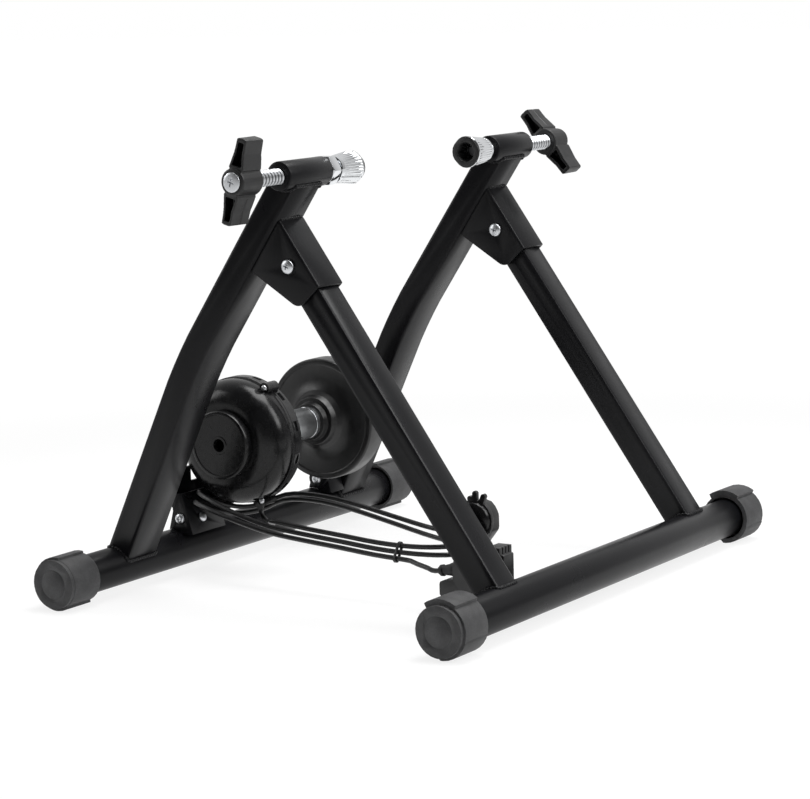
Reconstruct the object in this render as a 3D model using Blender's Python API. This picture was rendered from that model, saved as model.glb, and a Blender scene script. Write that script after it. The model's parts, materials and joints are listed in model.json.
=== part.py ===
"""Folding magnetic bike trainer: two floor tubes, two A-shaped sides, axle clamps and a roller unit.

X runs along the wheel axle, the bike faces -Y and +Z is up. Right is -X, as the rider sees it.
"""
import math

import bmesh
import bpy
from mathutils import Matrix, Vector

# Overall layout
HALF_WIDTH = 0.272
FRONT_TUBE_Y = -0.1975
REAR_TUBE_Y = 0.1975
AXLE_Y = -0.0063
AXLE_HEIGHT = 0.3758
LEG_X = HALF_WIDTH - 0.1035
PIVOT_Y = AXLE_Y + 0.0018
PIVOT_DROP = 0.0765

# Clearance between pieces that touch on the real trainer, and how far cutters run past a body
GAP = 0.0003
BEYOND = 0.01

# Floor tubes and their levelling caps
TUBE_RADIUS = 0.0175
TUBE_WALL = 0.0018
CAP_LENGTH = 0.038
CAP_FACE = 0.004
CAP_SEAT_DEPTH = 0.014
CAP_LIP_RADIUS = TUBE_RADIUS + 0.0023
CAP_SECTORS = 5
CAP_WALL = 0.0065
CAP_REST_RADIUS = TUBE_RADIUS + CAP_WALL
TUBE_TOP_Z = 2 * TUBE_RADIUS + CAP_WALL
FRONT_CAP_STEPS = (0.0, -0.0003, 0.0024, -0.0021, -0.0021)
REAR_CAP_STEPS = (-0.0003, -0.0006, 0.0, -0.0021, -0.0021)
CAP_DISC_STEP = -0.0024
CAP_DISC_THICKNESS = 0.0040
CAP_GROOVE = 0.0011
CAP_SECTOR_POINTS = 6
CAP_BORE_STEPS = 18
CAP_SOLE = math.radians(6)
FRONT_CAP_TURN = math.radians(273)
REAR_CAP_TURN = FRONT_CAP_TURN + 14 * 2 * math.pi / CAP_SECTORS / CAP_SECTOR_POINTS

# Legs
REAR_LEG_WIDTH = 0.042
REAR_LEG_DEPTH = 0.025
FRONT_LEG_WIDTH = 0.0304
FRONT_LEG_DEPTH = 0.025
LEG_WALL = 0.0016
LEG_CORNER = 0.003
LEG_BOW = 0.0158
LEG_BOW_AT = 0.49
LEG_BEND_RADIUS = 0.50

# Fold brackets
SHEET = 0.0025
BRACKET_PLAY = 0.0010
WEB_CLEARANCE = 0.0005
WEB_BELOW_PIVOT = 0.0305
FLANGE_SEAT = 0.0540
FLANGE_FOOT_ALONG = 0.0345
FLANGE_FOOT_DEPTH = 0.0130
FLANGE_FOOT_RADIUS = 0.010
FOLD_RADIUS = 0.0025
PIVOT_BOLT_RADIUS = 0.004
PIVOT_HEAD_RADIUS = PIVOT_BOLT_RADIUS + 0.0022
PIVOT_HEAD_HEIGHT = 0.0036
PIVOT_NUT_FLATS = 0.013
PIVOT_NUT_HEIGHT = 0.0075
BOLT_STEPS = 14
BOLT_PROUD = 0.0018

# Axle clamps
CLAMP_TUBE_RADIUS = 0.0125
CLAMP_TUBE_LENGTH = 0.0625
CLAMP_TUBE_OUTER_X = LEG_X + 0.0305
CLAMP_TUBE_EDGE = 0.0012
SPINDLE_RADIUS = 0.007
SPINDLE_CHAMFER = 0.0008
SPINDLE_NOSE = 0.005
SPINDLE_BORE_DEPTH = 0.0140
KNOB_DEPTH = 0.027
KNOB_HUB_RADIUS = 0.0115
KNOB_SKIRT_RADIUS = 0.0128
KNOB_FACE_WALL = 0.0035
KNOB_REACH = 0.0370
KNOB_EDGE = 0.0010
WING_ROOT = 0.0146
WING_WAIST = 0.0100
WING_WAIST_AT = 0.0245
WING_TIP = 0.0092
WING_CROWN = 0.0012
WING_DRAFT = 0.0009
WING_TIP_DEPTH = 0.0245
WING_SETBACK = 0.0012
WING_WALL = 0.0020
WING_WEB = 0.0020
WING_GROOVE = 0.0016
WING_GROOVE_AT = 0.55
POCKET_END = 0.0040
RIGHT_KNOB_FACE = LEG_X + 0.0955
LEFT_KNOB_FACE = LEG_X + 0.0995
RIGHT_CUP_FACE = LEG_X - 0.0780
LEFT_CUP_FACE = LEG_X - 0.0720
RIGHT_KNOB_TILT = math.radians(15.5)
LEFT_KNOB_TILT = math.radians(-39.8)
SCREW_HEAD_RADIUS = 0.0083
SCREW_HEAD_HEIGHT = 0.0016
SCREW_SHANK_RADIUS = 0.0023
SCREW_LENGTH = 0.0130
CUP_LENGTH = 0.0305
CUP_BACK_RADIUS = 0.0115
CUP_LIP_RADIUS = 0.01465
CUP_LIP_SETBACK = 0.0015
CUP_MOUTH_DEPTH = 0.0075
CUP_WALL = 0.0016
SOCKET_RADIUS = 0.0085
SOCKET_DEPTH = 0.0108
SEAT_FOR_SPINDLE = 0.0120
INSERT_MOUTH = 0.0092
INSERT_THROAT = 0.0045
INSERT_FLAT = 0.0135
INSERT_EDGE = 0.0004
INSERT_NOTCHES = 6
INSERT_NOTCH_WIDTH = 0.0022
NUT_FLATS = 0.0240
NUT_HEIGHT = 0.0110

# Roller unit, on its axle
UNIT_Y = REAR_TUBE_Y - 0.0525
UNIT_Z = TUBE_TOP_Z + 0.0808
UNIT_AXLE_RADIUS = 0.005
ROLLER_RADIUS = 0.0150
ROLLER_FROM = -0.0370
ROLLER_TO = 0.0455
ROLLER_EDGE = 0.0010
FLYWHEEL_RADIUS = 0.058
FLYWHEEL_FROM = 0.065
FLYWHEEL_TO = 0.088
FLYWHEEL_EDGE = 0.0010
FLYWHEEL_RIM = 0.0110
FLYWHEEL_DISH = 0.0100
FLYWHEEL_HUB = 0.0185
FLYWHEEL_COLLAR = 0.0060
FLYWHEEL_SLEEVE = 0.0088
AXLE_NUT_FLATS = 0.0160
AXLE_NUT_HEIGHT = 0.0060
AXLE_CHAMFER = 0.0006
HOUSING_RADIUS = 0.0585
HOUSING_WALL = 0.0030
HOUSING_STEPS = 26
HOUSING_FROM = -0.044
HOUSING_SPLIT = HOUSING_FROM - 0.0145
HOUSING_SHOULDER = HOUSING_SPLIT - 0.0095
HOUSING_FACE = HOUSING_SHOULDER - 0.0200
BOSS_FACE = HOUSING_FACE - 0.0080
BOSS_RADIUS = 0.0315
HOUSING_RIB = 0.0022
HOUSING_LIP = 0.0012
HOUSING_COLLAR = 0.0122
BOSS_RECESS = 0.0030
LUG_RADIUS = 0.0050
LUG_CIRCLE = HOUSING_RADIUS + 0.0005
LUG_HEIGHT = 0.0070
LUG_DEPTH = 0.0085
COVER_SCREW_RADIUS = 0.0015
COVER_SCREW_HEAD = 0.0032
COVER_SCREW_HEAD_HEIGHT = 0.0016
LUG_ANGLES = (math.radians(122), math.radians(-114))
ARM_SHEET = 0.004
RIGHT_ARM_X = HOUSING_FROM + GAP + 0.0020
LEFT_ARM_X = 0.1215
ARM_HEAD_RADIUS = 0.0190
ARM_FOOT_RADIUS = 0.0095
ARM_WINDOW_SPAN = (0.42, 0.66)
ARM_WINDOW_RADII = (0.0060, 0.0045)
BEARING_RADIUS = 0.0130
BEARING_WIDTH = 0.0070
ROTOR_RADIUS = HOUSING_RADIUS - 0.0105
ROTOR_HUB = 0.0120
ROTOR_SHEET = 0.0020
ROTOR_DEPTH = 0.0060
MAGNET_PLATE_RADIUS = ROTOR_RADIUS - 0.0040
MAGNET_PLATE_DEPTH = 0.0125
MAGNET_PLATE_SHEET = 0.0020
MAGNET_PROUD = 0.0040
MAGNET_RADIUS = 0.0065
MAGNET_CIRCLE = ROTOR_RADIUS - 0.0110
MAGNETS = 6

# Seats on the rear tube and the swinging carrier of the roller unit
UNIT_PIVOT_Y = REAR_TUBE_Y - 0.0085
UNIT_PIVOT_Z = TUBE_TOP_Z + 0.0105
SEAT_SHEET = 0.0025
RIGHT_SEAT_FROM = -0.1000
RIGHT_SEAT_TO = -0.0500
LEFT_SEAT_FROM = 0.1240
LEFT_SEAT_TO = 0.1462
SEAT_WEB_SETBACK = 0.0088
SEAT_WEB_LEAN = math.radians(17.3)
SEAT_TOP_Z = TUBE_TOP_Z + 0.0335
SEAT_LOW_TOP_Z = TUBE_TOP_Z + 0.0220
SEAT_LOW_TOP_FROM = -0.0640
SEAT_BACK_Y = REAR_TUBE_Y + 0.0055
SEAT_TOP_DEPTH = 0.0060
SEAT_CORNER = 0.0030
SEAT_TOP_EDGE = 0.0005
SEAT_BASE_Z = TUBE_TOP_Z - 0.0035
UNIT_BOLT_RADIUS = 0.003
UNIT_BOLT_HEAD = 0.0050
UNIT_BOLT_HEAD_HEIGHT = 0.0028
WEB_BOLT_X = -0.0800
WEB_BOLT_Z = TUBE_TOP_Z + 0.0095
WEB_BOLT_RADIUS = 0.0024
WEB_BOLT_HEAD = 0.0048
WEB_BOLT_HEAD_HEIGHT = 0.0028
EAR_RADIUS = 0.0058
EAR_TOP_RADIUS = 0.0050
EAR_RISE = 0.0100
GUSSET_REACH = 0.0120
BACK_PLATE_Y = REAR_TUBE_Y + 0.0005
BACK_PLATE_SHEET = 0.0025
BACK_PLATE_BASE_Z = TUBE_TOP_Z + 0.0165
BACK_PLATE_LOW_TOP_Z = TUBE_TOP_Z + 0.0405
BACK_PLATE_TOP_Z = TUBE_TOP_Z + 0.0545
BACK_PLATE_FROM = -0.0965
BACK_PLATE_TALL_TO = -0.0700
BACK_PLATE_LIP = 0.0020
BACK_PLATE_TAPER_FROM = 0.0200
BACK_PLATE_TAPER = math.radians(20)
CROSS_TUBE_RADIUS = 0.0045
CROSS_TUBE_Y = REAR_TUBE_Y - 0.0010
CROSS_TUBE_Z = TUBE_TOP_Z + 0.0425

# Jack screw in the carrier's tail, which stands on the rear tube and sets the roller's pressure
TAIL_REACH = 0.0220
TAIL_HALF_WIDTH = 0.0110
TAIL_SHEET = 0.0040
TAIL_PLATE_TOP_Z = TUBE_TOP_Z + 0.0325
JACK_X = -0.0250
JACK_Y = REAR_TUBE_Y + 0.0085
JACK_RADIUS = 0.004
JACK_LENGTH = 0.062
JACK_FOOT_RADIUS = 0.0058
JACK_FOOT_HEIGHT = 0.0050
JACK_KNOB_RADIUS = 0.015
JACK_KNOB_HEIGHT = 0.014
JACK_KNOB_LOBES = 6
JACK_KNOB_FLUTE = 0.0016
JACK_KNOB_CROWN = 0.0030
JACK_CHAMFER = 0.0008

# Resistance shifter, parked behind the front floor tube
SHIFTER_FROM = -0.1355
SHIFTER_TO = -0.1135
BAR_RADIUS = 0.0111
BAND_RADIUS = BAR_RADIUS + 0.0044
BAR_Y = FRONT_TUBE_Y + 0.0470
BAR_Z = TUBE_TOP_Z + 0.0045
DIAL_Y = BAR_Y + 0.0005
DIAL_Z = BAR_Z + 0.0400
DIAL_RADIUS = 0.0160
DIAL_HEIGHT = 0.0070
LEVER_RADIUS = DIAL_RADIUS + 0.0012
LEVER_THICKNESS = 0.0040
PRONG_WIDTH = 0.0054
PRONGS = ((math.radians(66), 0.0245), (math.radians(88), 0.0245), (math.radians(103), 0.0205))
STRAP_LOW_Z = BAR_Z - 0.0145
STRAP_HIGH_Z = BAR_Z + 0.0115
STRAP_SHEET = 0.0040
PAD_REACH = 0.0065
PAD_TOP = 0.0170
PAD_BASE = 0.0105
PAD_CORNER = 0.0030
PAD_SLIT = 0.0012
PAD_RIBS = 4
BAND_SETBACK = 0.0010
BODY_SETBACK = 0.0030
HEAD_FRONT = 0.0122
HEAD_BACK = 0.0150
HEAD_TOP = 0.0142
NECK_Z = BAR_Z - 0.0020
PIN_RADIUS = 0.0030
PIN_DEPTH = 0.0100
BOOT_TIP_Y = BAR_Y + 0.0440
BOOT_TIP_Z = BAR_Z - 0.0098
BOOT_LENGTH = 0.0170
BOOT_RADIUS = 0.0060
BOOT_SEAT = 0.0010
SKIRT_BASE_Z = BAR_Z - 0.0325
SKIRT_EDGE = 0.0020
SKIRT_SETBACK = 0.0045
BOOT_RISE = math.radians(-9)

# Control cable
CABLE_RADIUS = 0.0022
GLAND_X = HOUSING_FROM - 0.0070
GLAND_ANGLE = math.radians(-100)
GLAND_RADIUS = 0.0042
GLAND_LENGTH = 0.0080
GLAND_COLLAR = 0.0016
HANK_LOOPS = 2
HANK_POINTS_PER_LOOP = 24
HANK_STEP = 0.0056
HANK_LEAN = math.radians(56)
HANK_ENDS_SPREAD = 0.75
HANK_END_AT = 0.02
HANK_CLIMB_FROM = 0.60
HANK_CLIMB_SHARE = 0.30
HANK_FROM = 0.215
HANK_TO = 0.415
HANK_ROUTE = (
    (-0.0880, 0.1740, 0.0750), (-0.1010, 0.1610, 0.0755), (-0.1070, 0.1280, 0.0660),
    (-0.1100, 0.0800, 0.0555), (-0.1110, 0.0150, 0.0500), (-0.1120, -0.0480, 0.0455),
    (-0.1100, -0.0980, 0.0460), (-0.0900, -0.1170, 0.0470), (-0.0620, -0.0840, 0.0455),
    (-0.0440, -0.0300, 0.0495), (-0.0390, 0.0440, 0.0645), (-0.0350, 0.1080, 0.0690),
    (-0.0400, 0.1480, 0.0560), (-0.0620, 0.1690, 0.0610),
)
LEAD_IN = ((-0.0620, 0.1180, 0.0480), (-0.0860, 0.0950, 0.0520))
LEAD_OUT = ((-0.1190, -0.0800, 0.0385), (-0.1230, -0.0940, 0.0368))
CABLE_POINT_SPACING = 0.0120
TIE_AT = 0.368
TIE_WIDTH = 0.0025
TIE_WALL = 0.0009

TUBE_Z = CAP_REST_RADIUS * math.cos(CAP_SOLE / 2)
FLOOR_TUBE_HALF = HALF_WIDTH - CAP_FACE
PIVOT_Z = AXLE_HEIGHT - PIVOT_DROP
BRACKET_WIDTH = FRONT_LEG_WIDTH + 2 * BRACKET_PLAY + 2 * SHEET


def clear_scene():
    for item in list(bpy.data.objects):
        bpy.data.objects.remove(item, do_unlink=True)


def paint(name, colour, roughness, metallic):
    material = bpy.data.materials.new(name)
    material.use_nodes = True
    shader = material.node_tree.nodes["Principled BSDF"]
    shader.inputs["Base Color"].default_value = (*colour, 1.0)
    shader.inputs["Roughness"].default_value = roughness
    shader.inputs["Metallic"].default_value = metallic
    return material


def steel_black(name):
    return paint(name + "_paint", (0.012, 0.012, 0.013), 0.32, 0.0)


def plastic_black(name):
    return paint(name + "_plastic", (0.018, 0.018, 0.019), 0.45, 0.0)


def rubber_black(name):
    return paint(name + "_rubber", (0.030, 0.030, 0.031), 0.75, 0.0)


def bright_zinc(name):
    return paint(name + "_zinc", (0.72, 0.73, 0.74), 0.28, 1.0)


def chrome(name):
    return paint(name + "_chrome", (0.85, 0.86, 0.87), 0.08, 1.0)


def finish(name, mesh_data, material, centre=(0.0, 0.0, 0.0), smooth=math.radians(35)):
    """Turn a bmesh in world places into an object whose origin is at centre."""
    bmesh.ops.recalc_face_normals(mesh_data, faces=mesh_data.faces)
    bmesh.ops.translate(mesh_data, vec=-Vector(centre), verts=mesh_data.verts)
    mesh = bpy.data.meshes.new(name)
    mesh_data.to_mesh(mesh)
    mesh_data.free()
    mesh.shade_smooth()
    mesh.set_sharp_from_angle(angle=smooth)
    item = bpy.data.objects.new(name, mesh)
    item.location = centre
    item.data.materials.append(material)
    bpy.context.scene.collection.objects.link(item)
    return item


def boolean(item, others, operation="DIFFERENCE"):
    """Apply booleans with other objects, then remove those."""
    for index, other in enumerate(others):
        modifier = item.modifiers.new(f"{operation.lower()}_{index}", "BOOLEAN")
        modifier.operation = operation
        modifier.object = other
        modifier.solver = "EXACT"
    bpy.context.view_layer.update()
    depsgraph = bpy.context.evaluated_depsgraph_get()
    made = bpy.data.meshes.new_from_object(item.evaluated_get(depsgraph))
    material = item.data.materials[0]
    item.modifiers.clear()
    made.name = item.name
    item.data = made
    item.data.materials.clear()
    item.data.materials.append(material)
    for other in others:
        bpy.data.objects.remove(other, do_unlink=True)
    item.data.shade_smooth()
    item.data.set_sharp_from_angle(angle=math.radians(35))
    return item


def helper(name, mesh_data):
    """A cutter or a shape to be joined: removed once it is used."""
    return finish(name, mesh_data, bpy.data.materials[0])


def join_rings(mesh_data, rings, closed_path=False):
    count = len(rings[0])
    pairs = list(zip(rings, rings[1:]))
    if closed_path:
        pairs.append((rings[-1], rings[0]))
    for first, second in pairs:
        for index in range(count):
            following = (index + 1) % count
            mesh_data.faces.new((first[index], first[following], second[following], second[index]))


def prism(points, start, end, plane="YZ"):
    """Extrude a flat outline along the axis that the plane leaves out."""
    mesh_data = bmesh.new()
    rings = []
    for level in (start, end):
        ring = []
        for u, v in points:
            place = {"YZ": (level, u, v), "XZ": (u, level, v), "XY": (u, v, level)}[plane]
            ring.append(mesh_data.verts.new(place))
        rings.append(ring)
    join_rings(mesh_data, rings)
    mesh_data.faces.new(rings[0])
    mesh_data.faces.new(rings[1])
    return mesh_data


def lathe(profile, centre_y, centre_z, segments=32):
    """Turn a closed (x, radius) outline about an axis along X; radius 0 closes on the axis."""
    mesh_data = bmesh.new()
    rings = []
    for x, radius in profile:
        if radius <= 0.0:
            rings.append([mesh_data.verts.new((x, centre_y, centre_z))])
            continue
        ring = []
        for step in range(segments):
            angle = 2 * math.pi * step / segments
            place = (x, centre_y + radius * math.cos(angle), centre_z + radius * math.sin(angle))
            ring.append(mesh_data.verts.new(place))
        rings.append(ring)
    count = len(rings)
    for index in range(count):
        first, second = rings[index], rings[(index + 1) % count]
        if len(first) == 1 and len(second) == 1:
            continue
        for step in range(segments):
            following = (step + 1) % segments
            if len(first) == 1:
                mesh_data.faces.new((first[0], second[following], second[step]))
            elif len(second) == 1:
                mesh_data.faces.new((first[step], first[following], second[0]))
            else:
                mesh_data.faces.new((first[step], first[following], second[following], second[step]))
    return mesh_data


def rod(x0, x1, radius, centre_y, centre_z, segments=24):
    return lathe([(x0, 0.0), (x0, radius), (x1, radius), (x1, 0.0)], centre_y, centre_z, segments)


def pipe(x0, x1, outer, inner, centre_y, centre_z, segments=32):
    profile = [(x0, inner), (x0, outer), (x1, outer), (x1, inner)]
    return lathe(profile, centre_y, centre_z, segments)


def turned(mesh_data, angle, centre):
    """Turn a bmesh about the X axis through centre, Y towards Z."""
    turn = Matrix.Rotation(angle, 3, "X")
    bmesh.ops.rotate(mesh_data, cent=Vector(centre), matrix=turn, verts=mesh_data.verts)
    return mesh_data


def placed_along(mesh_data, origin, direction):
    """Carry a bmesh made along +X from the world origin to another line."""
    turn = Vector((1, 0, 0)).rotation_difference(Vector(direction).normalized()).to_matrix()
    bmesh.ops.rotate(mesh_data, cent=(0, 0, 0), matrix=turn, verts=mesh_data.verts)
    bmesh.ops.translate(mesh_data, vec=Vector(origin), verts=mesh_data.verts)
    return mesh_data


def arc(centre_u, centre_v, radius, start, end, steps):
    return [
        (centre_u + radius * math.cos(start + (end - start) * k / steps),
         centre_v + radius * math.sin(start + (end - start) * k / steps))
        for k in range(steps + 1)
    ]


def rounded_outline(corners, radii, steps=4):
    """Round each corner of an outline by its own radius."""
    points = []
    count = len(corners)
    for index in range(count):
        here = Vector(corners[index])
        radius = radii[index]
        if radius <= 0.0:
            points.append(tuple(here))
            continue
        before = (Vector(corners[index - 1]) - here).normalized()
        after = (Vector(corners[(index + 1) % count]) - here).normalized()
        half = before.angle(after) / 2
        centre = here + (before + after).normalized() * radius / math.sin(half)
        first = here + before * radius / math.tan(half) - centre
        last = here + after * radius / math.tan(half) - centre
        start = math.atan2(first.y, first.x)
        sweep = math.atan2(last.y, last.x) - start
        sweep = (sweep + math.pi) % (2 * math.pi) - math.pi
        points += arc(centre.x, centre.y, radius, start, start + sweep, steps)
    return points


def rectangle(width, depth, radius):
    half_w, half_d = width / 2, depth / 2
    corners = [(-half_w, -half_d), (half_w, -half_d), (half_w, half_d), (-half_w, half_d)]
    return rounded_outline(corners, [radius] * 4, 2)


def square_tube(path, centre_x, width, depth):
    """Sweep a hollow rectangle along a path in the YZ plane, with open ends."""
    mesh_data = bmesh.new()
    shells = (rectangle(width, depth, LEG_CORNER),
              rectangle(width - 2 * LEG_WALL, depth - 2 * LEG_WALL, LEG_CORNER - LEG_WALL))
    swept = []
    for shell in shells:
        rings = []
        for index, (y, z) in enumerate(path):
            before = Vector(path[max(index - 1, 0)])
            after = Vector(path[min(index + 1, len(path) - 1)])
            along = (after - before).normalized()
            across = Vector((-along.y, along.x))
            ring = [mesh_data.verts.new((centre_x + u, y + across.x * v, z + across.y * v)) for u, v in shell]
            rings.append(ring)
        join_rings(mesh_data, rings)
        swept.append(rings)
    for end in (0, -1):
        join_rings(mesh_data, [swept[0][end], swept[1][end]])
    return mesh_data


def rear_leg_corner():
    """The point where the straight halves of a rear leg's centre line would meet."""
    top = Vector((AXLE_Y, AXLE_HEIGHT))
    chord = Vector((REAR_TUBE_Y, TUBE_Z)) - top
    outward = Vector((-chord.y, chord.x)).normalized()
    return top + chord * LEG_BOW_AT + outward * LEG_BOW


def rear_leg_path():
    top = Vector((AXLE_Y, AXLE_HEIGHT))
    foot = Vector((REAR_TUBE_Y, TUBE_Z))
    corner = rear_leg_corner()
    return rounded_outline([tuple(top), tuple(corner), tuple(foot)], [0.0, LEG_BEND_RADIUS, 0.0], 5)


def rear_leg_face(distance):
    """A point of the upper rear leg's front face, with the gap for what is welded there."""
    top = Vector((AXLE_Y, AXLE_HEIGHT))
    along = (rear_leg_corner() - top).normalized()
    front = Vector((along.y, -along.x))
    return top + along * distance + front * (REAR_LEG_DEPTH / 2 + GAP)


def fold_axes():
    """Unit vectors down the front leg and out of its front face."""
    down = (Vector((FRONT_TUBE_Y, TUBE_Z)) - Vector((PIVOT_Y, PIVOT_Z))).normalized()
    return down, Vector((down.y, -down.x))


def build_floor_tube(name, centre_y):
    inner = TUBE_RADIUS - TUBE_WALL
    mesh_data = pipe(-FLOOR_TUBE_HALF + GAP, FLOOR_TUBE_HALF - GAP, TUBE_RADIUS, inner, centre_y, TUBE_Z)
    return finish(name, mesh_data, steel_black(name), (0, centre_y, TUBE_Z))


def cap_outline(steps, turn, centre_y, disc=False):
    """The cam's sectors of unlike radius, a groove between them where the step is the cam's own, and a flat sole."""
    points = []
    sector = 2 * math.pi / CAP_SECTORS
    groove = CAP_GROOVE / CAP_REST_RADIUS
    for index, step in enumerate(steps):
        following = steps[(index + 1) % CAP_SECTORS]
        start = turn + index * sector
        marks = [(start + sector * k / CAP_SECTOR_POINTS, step) for k in range(CAP_SECTOR_POINTS)]
        end = start + sector
        if step != following:
            marks += [(end - 1.4 * groove, step), (end - 0.6 * groove, min(step, following) - CAP_GROOVE / 4)]
        points += [(angle % (2 * math.pi), level) for angle, level in marks]
    down = math.radians(270)
    points = [(angle, level) for angle, level in points if abs(angle - down) > CAP_SOLE / 2 + groove / 4]
    points += [(down - CAP_SOLE / 2, 0.0), (down + CAP_SOLE / 2, 0.0)]
    outline = []
    for angle, level in sorted(points):
        radius = CAP_REST_RADIUS + (CAP_DISC_STEP if disc else level)
        outline.append((centre_y - radius * math.cos(angle), TUBE_Z + radius * math.sin(angle)))
    return outline


def build_cap(name, side, centre_y, steps, turn):
    """Levelling foot: a plain disc in front of the stepped cam, bored for the floor tube."""
    outer = side * HALF_WIDTH
    cam = side * (HALF_WIDTH - CAP_DISC_THICKNESS)
    inner = side * (HALF_WIDTH - CAP_LENGTH)
    mesh_data = bmesh.new()
    rings = []
    for level, disc in ((outer, True), (cam, True), (cam, False), (inner, False)):
        outline = cap_outline(steps, turn, centre_y, disc)
        rings.append([mesh_data.verts.new((level, y, z)) for y, z in outline])
    join_rings(mesh_data, rings)
    mesh_data.faces.new(rings[0])
    mesh_data.faces.new(rings[-1])
    cap = finish(name, mesh_data, rubber_black(name), (0, centre_y, TUBE_Z))
    face = side * FLOOR_TUBE_HALF
    lip = side * (HALF_WIDTH - CAP_LENGTH + CAP_SEAT_DEPTH)
    mouth = side * (HALF_WIDTH - CAP_LENGTH - 0.002)
    snug = TUBE_RADIUS + GAP
    bore = lathe([(face, 0.0), (face, snug), (lip, snug), (lip, CAP_LIP_RADIUS),
                  (mouth, CAP_LIP_RADIUS), (mouth, 0.0)], centre_y, TUBE_Z, CAP_BORE_STEPS)
    return boolean(cap, [helper("bore", bore)])


def build_rear_leg(name, side):
    centre_x = side * LEG_X
    reach = REAR_LEG_WIDTH
    tube = square_tube(rear_leg_path(), centre_x, REAR_LEG_WIDTH, REAR_LEG_DEPTH)
    leg = finish(name, tube, steel_black(name))
    foot = rod(centre_x - reach, centre_x + reach, TUBE_RADIUS + GAP, REAR_TUBE_Y, TUBE_Z, 32)
    head = rod(centre_x - reach, centre_x + reach, CLAMP_TUBE_RADIUS + GAP, AXLE_Y, AXLE_HEIGHT, 32)
    return boolean(leg, [helper("foot", foot), helper("head", head)])


def build_front_leg(name, side):
    down, _ = fold_axes()
    pivot = Vector((PIVOT_Y, PIVOT_Z))
    foot = Vector((FRONT_TUBE_Y, TUBE_Z))
    top = pivot - down * (FRONT_LEG_DEPTH / 2)
    path = [tuple(top), tuple(pivot), tuple(foot)]
    mesh_data = square_tube(path, side * LEG_X, FRONT_LEG_WIDTH, FRONT_LEG_DEPTH)
    leg = finish(name, mesh_data, steel_black(name), (0, PIVOT_Y, PIVOT_Z))
    centre_x = side * LEG_X
    reach = FRONT_LEG_WIDTH
    lean = math.atan2(-down.y, -down.x)
    round_end = arc(0.0, 0.0, FRONT_LEG_DEPTH / 2 - GAP / 2, -math.pi / 2, math.pi / 2, 8)
    block = round_end + [(0.0, FRONT_LEG_DEPTH), (FRONT_LEG_DEPTH, FRONT_LEG_DEPTH),
                         (FRONT_LEG_DEPTH, -FRONT_LEG_DEPTH), (0.0, -FRONT_LEG_DEPTH)]
    cope = prism(block, centre_x - reach, centre_x + reach)
    turned(cope, lean, (0, 0, 0))
    bmesh.ops.translate(cope, vec=(0, PIVOT_Y, PIVOT_Z), verts=cope.verts)
    foot_cut = rod(centre_x - reach, centre_x + reach, TUBE_RADIUS + GAP, FRONT_TUBE_Y, TUBE_Z, 32)
    hole = rod(centre_x - reach, centre_x + reach, PIVOT_BOLT_RADIUS + GAP, PIVOT_Y, PIVOT_Z, 16)
    cutters = [helper("round_end", cope), helper("foot", foot_cut), helper("hole", hole)]
    return boolean(leg, cutters)


def build_fold_bracket(name, side):
    down, front = fold_axes()
    pivot = Vector((PIVOT_Y, PIVOT_Z))
    web = FRONT_LEG_DEPTH / 2 + WEB_CLEARANCE + SHEET
    face_start = rear_leg_face(0.0)
    face_along = (rear_leg_face(1.0) - face_start).normalized()
    depth_now = (face_start - pivot).dot(front)
    top_distance = (web - depth_now) / face_along.dot(front)
    top = face_start + face_along * top_distance
    seat = face_start + face_along * (top_distance + FLANGE_SEAT)
    bottom = pivot + down * WEB_BELOW_PIVOT + front * web
    foot = pivot + down * FLANGE_FOOT_ALONG - front * FLANGE_FOOT_DEPTH
    outline = rounded_outline([tuple(top), tuple(bottom), tuple(foot), tuple(seat)],
                              [0.0, 0.0, FLANGE_FOOT_RADIUS, 0.0], 6)
    half = BRACKET_WIDTH / 2
    centre_x = side * LEG_X
    mesh_data = prism(outline, centre_x - half, centre_x + half)
    fold_edges = []
    for edge in mesh_data.edges:
        middle = (edge.verts[0].co + edge.verts[1].co) / 2
        level = (Vector((middle.y, middle.z)) - pivot).dot(front)
        along = (edge.verts[1].co - edge.verts[0].co).normalized()
        if abs(along.x) < 0.1 and abs(level - web) < 1e-5:
            fold_edges.append(edge)
    bmesh.ops.bevel(mesh_data, geom=fold_edges, offset=FOLD_RADIUS, segments=3, profile=0.5, affect="EDGES")
    bracket = finish(name, mesh_data, steel_black(name))
    inside = web - SHEET
    deep = REAR_LEG_DEPTH * 4
    high = FLANGE_SEAT * 2
    corners = [pivot - down * high + front * inside, pivot + down * high + front * inside,
               pivot + down * high - front * deep, pivot - down * high - front * deep]
    room = prism([tuple(c) for c in corners], centre_x - half + SHEET, centre_x + half - SHEET)
    hole = rod(centre_x - 2 * half, centre_x + 2 * half, PIVOT_BOLT_RADIUS + GAP, PIVOT_Y, PIVOT_Z, 16)
    return boolean(bracket, [helper("room", room), helper("hole", hole)])


def cross_recess(x, outward, centre_y, centre_z, size, depth):
    """Two crossed slots for a screwdriver, cut into a head whose face is at x."""
    slots = []
    blade = size * 0.24
    for width, height in ((size, blade), (blade, size)):
        outline = [(centre_y + y, centre_z + z) for y, z in rectangle(width, height, 0.0)]
        slots.append(helper("slot", prism(outline, x - outward * depth, x + outward * depth)))
    return slots


def domed_bolt(name, head_x, tip_x, centre, radii, head_height):
    """A bolt along X with a low round head outside head_x and a cross recess."""
    y, z = centre
    shank, head = radii
    outward = 1.0 if head_x > tip_x else -1.0
    top = head_x + outward * head_height
    profile = [(top, 0.0), (top, head * 0.55), (head_x + outward * head_height * 0.65, head * 0.90),
               (head_x, head), (head_x, shank), (tip_x, shank), (tip_x, 0.0)]
    bolt = finish(name, lathe(profile, y, z, BOLT_STEPS), bright_zinc(name), (0, y, z))
    return boolean(bolt, cross_recess(top, outward, y, z, head * 1.0, head_height * 0.5))


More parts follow.
